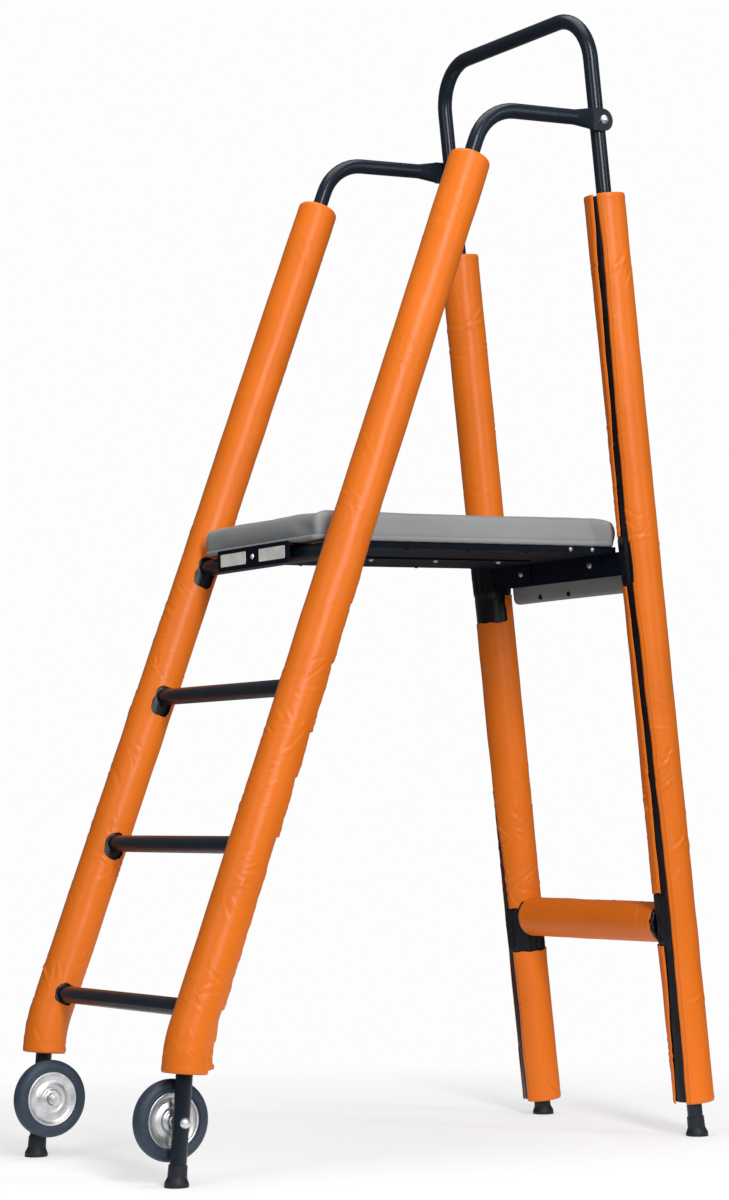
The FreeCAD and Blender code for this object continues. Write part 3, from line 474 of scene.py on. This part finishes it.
rear_start = flat(bar) - rear_dir * (bar.z / rear_dir[2])  # where a rear leg meets the floor
routes = {}
for side, sign in SIDES:
    x = centre(f"foam_front_{side}").x
    routes["front_" + side] = Route((x, axle.y, axle.z), (low_dir, high_dir), bend_at,
                                    RAIL_BEND_R, (sign, 0, 0), sign)
    x = centre(f"foot_rear_{side}").x
    routes["rear_" + side] = Route((x, rear_start[1], rear_start[2]), (rear_dir,),
                                   out=(sign, 0, 0), sign=sign)
bar_low, bar_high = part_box("foam_crossbar")
routes["crossbar"] = Route((bar_low.x, bar.y, bar.z), ((1, 0, 0),), out=(0, 0, 1), sign=-1)


# ------------------------------------------------------------------ pads
def hole_distance(arc, s, holes):
    """Distance outside the nearest opening: (arc, s, half arc, half s, corner radius)."""
    best = np.full_like(s, 1.0)
    for a0, s0, half_a, half_s, corner in holes:
        qa = np.abs(arc - a0) - (half_a - corner)
        qs = np.abs(s - s0) - (half_s - corner)
        outside = np.hypot(np.maximum(qa, 0), np.maximum(qs, 0))
        inside = np.minimum(np.maximum(qa, qs), 0)
        best = np.minimum(best, outside + inside - corner)
    return best


def cut_grid(arc, s, holes, rag):
    """Which cells of the grid are cut away, and the grid with its cut edges smoothed."""
    def field(a, b):
        ragged = np.sin(b * 310 + a * 90) + np.sin(a * 240 - b * 130)
        return hole_distance(a, b, holes) + rag * ragged

    d = field(arc, s)
    gone = (d[:-1, :-1] < 0) & (d[1:, :-1] < 0) & (d[:-1, 1:] < 0) & (d[1:, 1:] < 0)
    step = 0.0004
    for _ in range(3):
        value = field(arc, s)
        ga = (field(arc + step, s) - field(arc - step, s)) / (2 * step)
        gs = (field(arc, s + step) - field(arc, s - step)) / (2 * step)
        slope = np.maximum(np.hypot(ga, gs), 0.3)
        move = np.minimum(np.where(value < 0, -value / slope, 0), 0.006)
        arc = arc + move * ga / slope
        s = s + move * gs / slope
    return ~gone, arc, s, d


def build_sleeve(name, route, s0, s1, slit, seed, spans=(), holes=(), lift=None,
                 closed_top=False):
    """One vinyl sleeve: a sheet wrapped round the foam, open along its slit."""
    rows = np.append(np.arange(s0, s1, ROW_STEP), s1)
    rows = rows[rows <= s1]
    base = np.full(len(rows), PAD_R)
    if closed_top:
        shoulder = 0.008
        rows = rows[rows < s1 - shoulder]
        turn = np.linspace(0, math.pi / 2, 6)
        cap = np.linspace(PAD_R - shoulder, TUBE_R + 0.0012, 6)[1:]
        rounded = PAD_R - shoulder + shoulder * np.cos(turn)
        base = np.concatenate([np.full(len(rows), PAD_R), rounded, cap])
        rows = np.concatenate([rows, s1 - shoulder + shoulder * np.sin(turn),
                               s1 + 0.0008 * np.sin(np.linspace(0.5, 3.1, 5))])
    u = np.linspace(0, 1, COLUMNS + 1)
    s, u = np.meshgrid(rows, u, indexing="ij")
    radius = np.repeat(base[:, None], u.shape[1], axis=1)
    middle, half = slit(s)
    phi = middle + half + u * (2 * math.pi - 2 * half)
    keep = np.ones((s.shape[0] - 1, s.shape[1] - 1), bool)
    edge = np.full_like(s, 1.0)
    if holes:
        keep, arc, s, edge = cut_grid(phi * PAD_R, s, holes, 0.0007)
        phi = arc / PAD_R
    body = ease(radius, PAD_R - 0.006, PAD_R)
    wave = ripple(seed, s, phi, (0.35, 1.2), (2, 4), 6) * 0.45 * MM
    wave += ripple(seed + 1, s, phi, (0.07, 0.20), (1, 3), 8) * 0.30 * MM
    wave += creases(seed + 2, s, phi * PAD_R, spans, 2 * math.pi * PAD_R)
    beside = np.minimum(u, 1 - u) * (2 * math.pi - 2 * half) * PAD_R
    # the slit's edges roll in over a slight welt, the ends are hemmed, and holes flare a little
    roll = -0.9 * MM * np.exp(-((beside / 0.0022) ** 2))
    roll += 0.5 * MM * np.exp(-(((beside - 0.007) / 0.004) ** 2))
    hem = 0.45 * MM * (1 - ease(s - s0, 0.009, 0.0105)) - 1.0 * MM * (1 - ease(s - s0, 0, 0.0028))
    if not closed_top:
        hem += 0.45 * MM * ease(s - s1, -0.0105, -0.009) - 1.0 * MM * ease(s - s1, -0.0028, 0)
    flare = 0.9 * MM * np.exp(-np.maximum(edge, 0) / 0.007) if holes else 0
    radius = radius + body * (np.maximum(wave, -0.9 * MM) + roll + hem + flare)
    if lift is not None:
        radius = radius + body * lift(s, u, phi)
    points = route.surface(s, phi, radius)
    index = np.arange(s.size).reshape(s.shape)
    i, j = np.nonzero(keep)
    faces = np.stack([index[i, j], index[i, j + 1], index[i + 1, j + 1], index[i + 1, j]], -1)
    verts = points.reshape(-1, 3)
    uvs = np.stack([beside.ravel(), s.ravel()], -1)
    used = np.unique(faces)
    fresh = -np.ones(len(verts), int)
    fresh[used] = np.arange(len(used))
    # the inner faces carry the brown backing, darkened as painted shade
    obj = new_object(name, verts[used], fresh[faces], [mats["orange"], mats["backing_and_shade"]], uvs[used])
    face_out(obj, route)
    skin = obj.modifiers.new("thickness", "SOLIDIFY")
    skin.thickness = SHEET
    skin.offset = -1
    skin.use_even_offset = False
    skin.material_offset = 1
    skin.material_offset_rim = 0
    apply_modifiers(obj)
    return obj


def face_out(obj, route):
    """Turns the faces so that they look away from the route."""
    polygon = obj.data.polygons[len(obj.data.polygons) // 2]
    point = np.array(polygon.center)
    nearest = route.p[np.linalg.norm(route.p - point, axis=1).argmin()]
    if float(np.array(polygon.normal) @ (point - nearest)) < 0:
        obj.data.flip_normals()


def build_foam(name, route, s0, s1, seed, swell=(), everywhere=False):
    """A foam tube: outer skin, both end rings and the bore; it swells where its sleeve is open."""
    bore, end_ring = TUBE_R + CLEARANCE, 0.022
    rows = np.linspace(s0, s1, int((s1 - s0) / 0.005) + 2)[1:-1]
    rounding = np.array([0.0, 0.0005, 0.0018])
    s_rows = np.concatenate([[s0, s0], s0 + rounding, rows, s1 - rounding[::-1], [s1, s1], [s0]])
    r_rows = np.concatenate([[bore, end_ring], FOAM_R - rounding[::-1], np.full(len(rows), FOAM_R),
                             FOAM_R - rounding, [end_ring, bore], [bore]])
    phi = np.linspace(0, 2 * math.pi, 120, endpoint=False)
    s, p = np.meshgrid(s_rows, phi, indexing="ij")
    radius = np.repeat(r_rows[:, None], len(phi), axis=1)
    skin = ease(radius, FOAM_R - 0.003, FOAM_R)
    wave = ripple(seed, s, p, (0.05, 0.16), (1, 4), 8) * 0.30 * MM
    for low, high, height in swell:
        inside = ease(s, low, low + 0.010) * (1 - ease(s, high - 0.010, high))
        if not everywhere:
            inside = inside * (1 - ease(np.cos(p - math.radians(112)), 0.05, 0.25))
        folds = creases(seed + 5, s, p * FOAM_R, [(low, high, 9, 0.9)], 2 * math.pi * FOAM_R)
        pleats = np.sin(9 * p + 2.5 * np.sin(2 * p) + 14 * (s - low))
        pleats += 0.6 * np.sin(17 * p - 25 * (s - low) + 1)
        wave = wave + inside * ((height + 1.0 * pleats) * MM + folds)
    radius = radius + skin * wave
    verts = route.surface(s, p, radius).reshape(-1, 3)
    obj = new_object(name, verts, ring_faces(*s.shape, closed=False), [mats["foam"]])
    clean(obj, merge=1e-6)
    return obj


def tapering(stations):
    """A slit that opens and closes: stations of (metres along, middle, half width in degrees)."""
    at, middle, half = zip(*stations)

    def slit(s):
        def smooth(values):
            return sum(np.interp(s + step, at, np.radians(values)) for step in (-0.03, 0, 0.03)) / 3
        ragged = np.radians(0.7) * np.sin(s * 37 + 1) + np.radians(0.4) * np.sin(s * 101)
        drift = np.radians(0.6) * np.sin(s * 43 + 2)
        return smooth(middle) + drift, smooth(half) + ragged
    return slit


def behind(s):
    """The front pads close at the back with a narrow overlapping joint."""
    return np.full_like(s, math.radians(168)), np.radians(1.3 + 0.5 * np.sin(s * 21))


def flap(sections, seed):
    """The closing edge stands off the pad in sections, each furthest out at its lower end."""
    rng = np.random.default_rng(seed)
    parts = [(low, high, rng.uniform(0.8, 1.1) * tall) for low, high, tall in sections]

    def lift(s, u, phi):
        arc = (1 - u) * 2 * math.pi * PAD_R
        total = np.zeros_like(s)
        for low, high, tall in parts:
            rise = 1 - np.clip((s - low) / (high - low), 0, 1)
            rise = np.where((s < low - 0.001) | (s > high), 0, 0.35 + 0.65 * rise)
            fade = 1 - ease(s, high - 0.02, high)
            total = np.maximum(total, rise * fade * tall * MM)
        uneven = 0.16 * np.sin(s * 97 + seed) + 0.12 * np.sin(s * 233) + 0.06 * np.sin(s * 517)
        return total * (1 + uneven) * (1 - ease(arc, 0.004, 0.030))
    return lift


def pad(kind, body, route, s0, s1, seed, fill=0.8, foam_ends=(0.003, 0.003), swell=(),
        bulging=False, **options):
    """A foam tube and its sleeve, standing for their two CAD solids."""
    foam_obj = build_foam("pad_foam_" + kind, route, s0 + foam_ends[0], s1 - foam_ends[1], seed,
                          swell, bulging)
    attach(foam_obj, body)
    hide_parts("foam_" + kind)
    cover = build_sleeve("pad_sleeve_" + kind, route, s0, s1, seed=seed * 10, **options)
    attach(cover, body)
    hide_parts("sleeve_" + kind)


def at_height(route, z):
    return float(route.s[np.abs(route.p[:, 2] - z).argmin()])


# (from, to, how far the closing edge stands off in mm), as heights on the front pads
FLAPS = ((0.182, 0.266, 7.5), (0.282, 0.511, 4.2), (0.552, 0.647, 4.6), (0.647, 0.721, 3.6),
         (0.721, 0.831, 3.4), (0.831, 0.930, 2.8), (0.930, 1.030, 2.2))
# each rung's opening: (node, how far it reaches below and above the rung's centre)
RUNG_HOLES = (("rung_1", 0.019, 0.018), ("rung_2", 0.029, 0.018), ("rung_3", 0.036, 0.019),
              ("platform_rung", 0.038, 0.020))
# half width and corner of those openings; 270 degrees is a pad's inner side
RUNG_HOLE_HALF = 0.0195
RUNG_HOLE_CORNER = 0.0178
for side, sign in SIDES:
    key = "front_" + side
    route = routes[key]
    s0, s1 = route.span("foam_" + key)
    holes, along = [], []
    for node, under, over in RUNG_HOLES:
        point = centre(node)
        spot = np.array([route.p[0][0], point.y, point.z])
        s = route.s[np.linalg.norm(route.p - spot, axis=1).argmin()]
        along.append(s)
        holes.append((math.radians(270) * PAD_R, s + (over - under) / 2, RUNG_HOLE_HALF,
                      (over + under) / 2, RUNG_HOLE_CORNER))
    sections = [(at_height(route, low), at_height(route, high), tall) for low, high, tall in FLAPS]
    spans = [(bend_at - 0.10, bend_at + 0.12, 17, 0.8), (along[1] - 0.10, along[2] + 0.06, 24, 0.8),
             (along[2], along[3] + 0.10, 12, 0.75), (along[3], s1, 8, 0.6)]
    pad(key, "front_frame", route, s0, s1, 11 if sign < 0 else 12, slit=behind, holes=holes,
        spans=spans, lift=flap(sections, 5 + sign), closed_top=True, foam_ends=(0.004, 0.010))

# (distance up the leg, middle, half width) of each rear slit
REAR_SLITS = {
    "left": ((0.03, 19, 23), (0.43, 19, 23), (0.53, 26, 16), (0.62, 33, 9), (0.76, 41, 5),
             (1.63, 41, 4)),
    "right": ((0.07, 8, 22), (0.20, 16, 17), (0.44, 24, 12), (0.72, 20, 10), (1.12, 6, 14),
              (1.30, 14, 9), (1.56, 22, 11), (1.66, 23, 6)),
}
# openings round the inner side of each leg, for the crossbar and then the cross plate, with a
# shorter one under the left end of the plate: (distance up the leg of the opening's middle, half
# height, angle where it starts at the back)
REAR_OPENINGS = {"left": ((0.353, 0.0415, 188), (1.016, 0.031, 188), (0.968, 0.033, 266)),
                 "right": ((0.386, 0.046, 188), (1.018, 0.045, 188))}
for side, sign in SIDES:
    key = "rear_" + side
    route = routes[key]
    s0, s1 = route.span("foam_" + key)
    holes = []
    for s, half, start in REAR_OPENINGS[side]:
        wide = math.radians(430 - start) / 2
        holes.append((math.radians(start) * PAD_R + wide * PAD_R, s, wide * PAD_R, half, 0.006))
    spans = [(s1 - 0.17, s1 - 0.10, 6, 1.2), (s0, s1, 14, 0.8), (0.42, 0.66, 20, 1.3),
             (s0, s0 + 0.20, 5, 0.9), (1.05, 1.20, 6, 0.9)]
    at_bar, at_plate = REAR_OPENINGS[side][:2]
    swell = [(s - half - 0.004, s + half + 0.004, height)
             for (s, half, _), height in ((at_bar, 1.6), (at_plate, 2.6))]
    pad(key, "rear_frame", route, s0, s1, 21 if sign < 0 else 22, slit=tapering(REAR_SLITS[side]),
        holes=holes, spans=spans, swell=swell)


def below(s):
    """The crossbar's sleeve closes behind and below."""
    return np.full_like(s, math.radians(-140)), np.radians(1.6 + 0.5 * np.sin(s * 44))


bar_length = bar_high.x - bar_low.x
pad("crossbar", "rear_frame", routes["crossbar"], 0.0, bar_length, 31,
    foam_ends=(-0.009, -0.009), bulging=True, slit=below, spans=[(0, bar_length, 8, 0.8)],
    swell=[(-0.020, 0.006, 4.2), (bar_length - 0.006, bar_length + 0.020, 4.2)])


# ------------------------------------------------------------------ cushions
CLOTH_FRAMES = 20


def rounded_block(name, low, high, rounding, cell, mat):
    """A box of small square cells whose edges are rounded by the given amounts."""
    low, high, rounding = Vector(low), Vector(high), Vector(rounding)
    extent = high - low
    bm = bmesh.new()
    bmesh.ops.create_cube(bm, size=1.0)
    for axis in range(3):
        count = max(2, round(extent[axis] / cell))
        normal = Vector((0, 0, 0))
        normal[axis] = 1
        for k in range(1, count):
            cut = normal * (k / count - 0.5)
            geom = bm.verts[:] + bm.edges[:] + bm.faces[:]
            bmesh.ops.bisect_plane(bm, geom=geom, plane_co=cut, plane_no=normal)
    middle = (low + high) / 2
    for vert in bm.verts:
        p = Vector([middle[i] + vert.co[i] * extent[i] for i in range(3)])
        inner = Vector([min(max(p[i], low[i] + rounding[i]), high[i] - rounding[i])
                        for i in range(3)])
        away = Vector([(p[i] - inner[i]) / rounding[i] for i in range(3)])
        if away.length > 1e-6:
            away.normalize()
        vert.co = Vector([inner[i] + away[i] * rounding[i] for i in range(3)])
    mesh = bpy.data.meshes.new(name)
    bm.to_mesh(mesh)
    bm.free()
    mesh.polygons.foreach_set("use_smooth", [True] * len(mesh.polygons))
    mesh.materials.append(mat)
    obj = bpy.data.objects.new(name, mesh)
    bpy.context.scene.collection.objects.link(obj)
    return obj


def coordinates(mesh, attribute="co"):
    values = np.zeros(len(mesh.vertices) * 3)
    mesh.vertices.foreach_get(attribute, values)
    return values.reshape(-1, 3)


def groove(z, middle, width, depth):
    """A stitched-in line all round a cushion, depth in mm."""
    return -depth * MM * np.exp(-(((z - middle) / width) ** 2))


def inflate(obj, held, pressure, cap):
    """Blows the cover up with Cloth pressure, by cap at most; held vertices stay put."""
    before = coordinates(obj.data)
    group = obj.vertex_groups.new(name="held")
    group.add([int(i) for i in np.nonzero(held)[0]], 1.0, "REPLACE")
    cloth = obj.modifiers.new("cloth", "CLOTH")
    cloth.settings.use_pressure = True
    cloth.settings.uniform_pressure_force = pressure
    cloth.settings.vertex_group_mass = "held"
    cloth.settings.effector_weights.gravity = 0
    cloth.settings.tension_stiffness = 40
    cloth.settings.compression_stiffness = 40
    cloth.settings.bending_stiffness = 4
    cloth.point_cache.frame_start = 1
    cloth.point_cache.frame_end = CLOTH_FRAMES
    scene = bpy.context.scene
    for number in range(1, CLOTH_FRAMES + 1):
        scene.frame_set(number)
    apply_modifiers(obj)
    scene.frame_set(1)
    move = coordinates(obj.data) - before
    far = np.linalg.norm(move, axis=1)
    limit = np.where(far > 1e-9, cap * np.tanh(far / cap) / np.maximum(far, 1e-9), 1)
    obj.data.vertices.foreach_set("co", (before + move * limit[:, None]).ravel())
    obj.data.update()


def subdivide(obj):
    sub = obj.modifiers.new("smooth", "SUBSURF")
    sub.levels = 1
    sub.render_levels = 1
    apply_modifiers(obj)


pin = centre("hinge_pin_right")
deck_tilt = math.radians(1.1)  # the platform slopes down a little to the front
deck_place = Matrix.Translation((0, pin.y, pin.z)) @ Matrix.Rotation(deck_tilt, 4, "X")
rear_lean = math.atan2(-rear_dir[1], rear_dir[2])
rear_place = Matrix.Translation((0, rear_start[1], 0)) @ Matrix.Rotation(rear_lean, 4, "X")

CUSHION_LOW = (-0.1880, -0.6232, 0.0056)
CUSHION_HIGH = (0.1880, 0.0022, 0.0538)
CUSHION_HELD = 0.0175  # the cover stays drawn to its board up to this height
cushion = rounded_block("seat_cushion", CUSHION_LOW, CUSHION_HIGH, (0.011, 0.011, 0.0085), 0.0085,
                        mats["grey"])
inflate(cushion, coordinates(cushion.data)[:, 2] < CUSHION_HELD, 1.5, 0.0045)
co = coordinates(cushion.data)
normal = coordinates(cushion.data, "normal")
x, y, z = co.T
# the sides bulge between the board and the top, by 1.6 mm, and the ends by 3.0 and 4.5 mm
bulge = np.sin(np.pi * np.clip((z - 0.0145) / 0.0390, 0, 1)) * MM
x += np.sign(x) * ease(np.abs(x), 0.160, 0.188) * bulge * 1.6
y += (ease(y, -0.030, 0.002) * 4.5 - ease(-y, 0.590, 0.623) * 3.0) * bulge
# the cover puckers at the upright corners, and is seamed under its top edge and over its board
to_end = np.minimum(np.abs(y - CUSHION_LOW[1]), np.abs(y - CUSHION_HIGH[1]))
near = np.exp(-((np.hypot(np.abs(x) - CUSHION_HIGH[0], to_end) / 0.040) ** 2))
pucker = np.sin(z * 520 + x * 60 + y * 35) * near * 0.5 * MM
seams = groove(z, 0.0445, 0.0022, 0.7) + groove(z, 0.0170, 0.0024, 1.6)
ripples = (np.sin(x * 21 + y * 13) + np.sin(y * 37 + 1)) * 0.28 * MM
co += normal * (pucker + seams + ripples)[:, None]
cushion.data.vertices.foreach_set("co", co.ravel())
cushion.data.update()
subdivide(cushion)
cushion.data.transform(deck_place)
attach(cushion, "platform")
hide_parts("platform_cushion")


def piping(name, half_x, y0, y1, z, corner, radius, tall, place, mat):
    """A flattened cord sewn round the foot of a cushion."""
    path = []
    side_x, low_y, high_y = half_x - corner, y0 + corner, y1 - corner
    for cx, cy, start in ((side_x, low_y, -90), (side_x, high_y, 0), (-side_x, high_y, 90),
                          (-side_x, low_y, 180)):
        for step in range(9):
            angle = math.radians(start + 90 * step / 8)
            path.append(Vector((cx + corner * math.cos(angle), cy + corner * math.sin(angle), z)))
    dense = []
    for a, b in zip(path, path[1:] + path[:1]):
        pieces = max(1, round((b - a).length / 0.010))
        dense += [a.lerp(b, k / pieces) for k in range(pieces)]
    verts = []
    sides = 12
    for i, point in enumerate(dense):
        tangent = (dense[(i + 1) % len(dense)] - dense[i - 1]).normalized()
        outward = tangent.cross(Vector((0, 0, 1)))
        wobble = radius * (1 + 0.04 * math.sin(i * 1.7))
        for k in range(sides):
            angle = 2 * math.pi * k / sides
            rise = Vector((0, 0, math.sin(angle) * wobble * tall / radius))
            verts.append(point + outward * math.cos(angle) * wobble + rise)
    obj = new_object(name, verts, ring_faces(len(dense), sides, closed=True), [mat])
    clean(obj)
    obj.data.transform(place)
    return obj


welt = piping("cushion_piping", half_x=0.1868, y0=-0.6244, y1=-0.0013, z=0.0106, corner=0.014,
              radius=0.0032, tall=0.0046, place=deck_place, mat=mats["grey"])
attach(welt, "platform")

BUMPER_LOW = (-0.188, 0.0152, 0.9632)
BUMPER_HIGH = (0.188, 0.0322, 1.0295)
BUMPER_HELD = 0.0175  # the front face, up to this depth, stays flat
bumper = rounded_block("bumper_cushion", BUMPER_LOW, BUMPER_HIGH, (0.013, 0.006, 0.012), 0.0065,
                       mats["grey"])
inflate(bumper, coordinates(bumper.data)[:, 1] < BUMPER_HELD, 2.5, 0.004)
bumper.data.transform(rear_place)
subdivide(bumper)
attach(bumper, "rear_frame")
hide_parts("bumper_pad")


# ------------------------------------------------------------------ lathes and wheels
def smooth_profile(points, rounds):
    """Cuts each corner of a profile into a short curve."""
    out = []
    for i, (a, b) in enumerate(points):
        if i in (0, len(points) - 1):
            out.append((a, b))
            continue
        prev, nxt = Vector(points[i - 1]), Vector(points[i + 1])
        here = Vector((a, b))
        reach = min(rounds, (prev - here).length * 0.45, (nxt - here).length * 0.45)
        start = here + (prev - here).normalized() * reach
        end = here + (nxt - here).normalized() * reach
        for k in range(5):
            t = k / 4
            p = start * (1 - t) ** 2 + here * 2 * t * (1 - t) + end * t * t
            out.append((p.x, p.y))
    return out


def lathe(name, profile, middle, sign, mat, segments=128):
    """Turns (radius, outward distance) points in mm about the X axis through middle."""
    verts = []
    for radius, out in profile:
        for k in range(segments):
            angle = 2 * math.pi * k / segments
            r = radius * MM
            verts.append((middle.x + sign * out * MM, middle.y + r * math.cos(angle),
                          middle.z + r * math.sin(angle)))
    obj = new_object(name, verts, ring_faces(len(profile), segments, closed=True), [mat])
    clean(obj)
    return obj


# half a section each, (radius, distance from the wheel's middle plane) in mm
TYRE_HALF = [(45.2, 10.5), (47.5, 14.2), (50.5, 14.9), (51.6, 14.1), (53.0, 14.8), (57.5, 13.8),
             (61.5, 11.0), (63.9, 7.0), (64.7, 3.2), (64.1, 2.4), (64.9, 1.2)]
HUB_HALF = [(9.1, 12.6), (12.6, 12.9), (14.8, 12.2), (17.0, 9.4), (19.2, 8.6), (21.0, 10.4),
            (23.6, 10.6), (25.2, 9.0), (30.5, 6.4), (36.5, 6.2), (40.5, 8.8), (42.3, 10.9),
            (44.2, 11.3), (45.6, 10.2)]
tyre_section = [(r, -h) for r, h in TYRE_HALF] + [(65.0, 0.0)] + TYRE_HALF[::-1]
hub_section = HUB_HALF + [(r, -h) for r, h in reversed(HUB_HALF)]
for side, sign in SIDES:
    middle = centre("tyre_" + side)
    tyre = lathe("tyre_tread_" + side, smooth_profile(tyre_section, 1.2), middle, sign,
                 mats["tyre"])
    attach(tyre, "wheel_" + side)
    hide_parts("tyre_" + side)
    hub = lathe("hub_disc_" + side, smooth_profile(hub_section, 1.0), middle, sign, mats["hub"])
    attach(hub, "wheel_" + side)
    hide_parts("hub_" + side)

BUTTON = [(0.2, 3.2), (1.8, 3.0), (3.4, 2.2), (4.6, 0.6), (4.8, -1.5), (0.2, -1.5)]
BUTTON_HEIGHT = 0.9735
to_front = Matrix.Rotation(math.radians(90), 4, "Z")
for number, x in enumerate((-0.010, -0.097)):
    button = lathe(f"bumper_button_{number + 1}", BUTTON, Vector((0, 0, 0)), -1, mats["pan"], 24)
    spot = Matrix.Translation((x, BUMPER_LOW[1], BUTTON_HEIGHT))
    button.data.transform(rear_place @ spot @ to_front)
    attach(button, "rear_frame")

# ------------------------------------------------------------------ floor, light and camera
BACKDROP = (0.982, 0.982, 0.982)
FLOOR_HALF = 3.0
FLOOR_FADE = (0.62, 1.45)  # the floor turns into the backdrop between these distances
floor_mat = material("floor", (0.50, 0.50, 0.50), 0.9, Specular_IOR_Level=0.0,
                     Emission_Color=(1, 1, 1, 1), Emission_Strength=0.54)
fade = Nodes(floor_mat)
from_middle = fade.tree.nodes.new("ShaderNodeVectorMath")
from_middle.operation = "LENGTH"
fade.link(fade.coords.outputs["Object"], from_middle.inputs[0])
away = fade.spread(from_middle.outputs["Value"], *FLOOR_FADE, 0.0, 1.0)
clear = fade.tree.nodes.new("ShaderNodeBsdfTransparent")
blend = fade.tree.nodes.new("ShaderNodeMixShader")
fade.link(away, blend.inputs["Fac"])
fade.link(fade.shader.outputs["BSDF"], blend.inputs[1])
fade.link(clear.outputs["BSDF"], blend.inputs[2])
fade.link(blend.outputs["Shader"], fade.tree.nodes["Material Output"].inputs["Surface"])
corners = [(a * FLOOR_HALF, b * FLOOR_HALF, 0) for a, b in ((-1, -1), (1, -1), (1, 1), (-1, 1))]
floor = new_object("floor", corners, [(0, 1, 2, 3)], [floor_mat], smooth=False)

# a pale backdrop, in a studio that is dimmer than its backdrop
world = bpy.data.worlds.new("studio")
bpy.context.scene.world = world
world.use_nodes = True
room = world.node_tree.nodes["Background"]
room.inputs["Color"].default_value = (0.95, 0.97, 1.0, 1)
room.inputs["Strength"].default_value = 0.15
backdrop = world.node_tree.nodes.new("ShaderNodeBackground")
backdrop.inputs["Color"].default_value = (*BACKDROP, 1)
ray = world.node_tree.nodes.new("ShaderNodeLightPath")
choose = world.node_tree.nodes.new("ShaderNodeMixShader")
surface = world.node_tree.nodes["World Output"].inputs["Surface"]
for source, target_socket in ((ray.outputs["Is Camera Ray"], choose.inputs["Fac"]),
                              (room.outputs["Background"], choose.inputs[1]),
                              (backdrop.outputs["Background"], choose.inputs[2]),
                              (choose.outputs["Shader"], surface)):
    world.node_tree.links.new(source, target_socket)
bpy.context.scene.view_settings.view_transform = "Standard"
bpy.context.scene.view_settings.look = "None"

target = Vector((0, 0, (cad_low.z + cad_high.z) / 2))


def towards(azimuth, elevation):
    """Unit vector from the ladder to a viewer; azimuth 0 is the climber's side."""
    return Vector((math.sin(azimuth) * math.cos(elevation),
                   -math.cos(azimuth) * math.cos(elevation), math.sin(elevation)))


def softbox(name, azimuth, elevation, distance, width, height, power):
    """An area light aimed at the ladder's middle: degrees, metres and watts."""
    light = bpy.data.lights.new(name, "AREA")
    light.shape = "RECTANGLE"
    light.size = width
    light.size_y = height
    light.energy = power
    obj = bpy.data.objects.new(name, light)
    bpy.context.scene.collection.objects.link(obj)
    back = towards(math.radians(azimuth), math.radians(elevation))
    obj.location = target + back * distance
    obj.rotation_mode = "QUATERNION"
    obj.rotation_quaternion = back.to_track_quat("Z", "Y")


softbox("key", 76, 24, 4.5, 0.7, 3.2, 168)
softbox("rim", 122, 14, 4.5, 0.35, 3.0, 30)
softbox("fill", 22, 20, 4.5, 1.2, 3.0, 36)
softbox("top", 60, 88, 3.2, 2.5, 2.5, 58)

CAMERA_AT = (4.1283, -2.6666, 0.5914)
CAMERA_AZIMUTH = math.radians(57.11)
CAMERA_ELEVATION = math.radians(-4.117)
CAMERA_ROLL = math.radians(-0.711)
CAMERA_LENS = 84.55
camera_data = bpy.data.cameras.new("camera")
camera = bpy.data.objects.new("camera", camera_data)
bpy.context.scene.collection.objects.link(camera)
back = towards(CAMERA_AZIMUTH, CAMERA_ELEVATION)
right = Vector((math.cos(CAMERA_AZIMUTH), math.sin(CAMERA_AZIMUTH), 0))
up = back.cross(right)
turned_right = right * math.cos(CAMERA_ROLL) + up * math.sin(CAMERA_ROLL)
turned_up = up * math.cos(CAMERA_ROLL) - right * math.sin(CAMERA_ROLL)
rows = [(turned_right[i], turned_up[i], back[i], CAMERA_AT[i]) for i in range(3)]
camera.matrix_world = Matrix((*rows, (0, 0, 0, 1)))
camera_data.sensor_width = 36
camera_data.lens = CAMERA_LENS
camera_data.clip_end = 100
bpy.context.scene.camera = camera
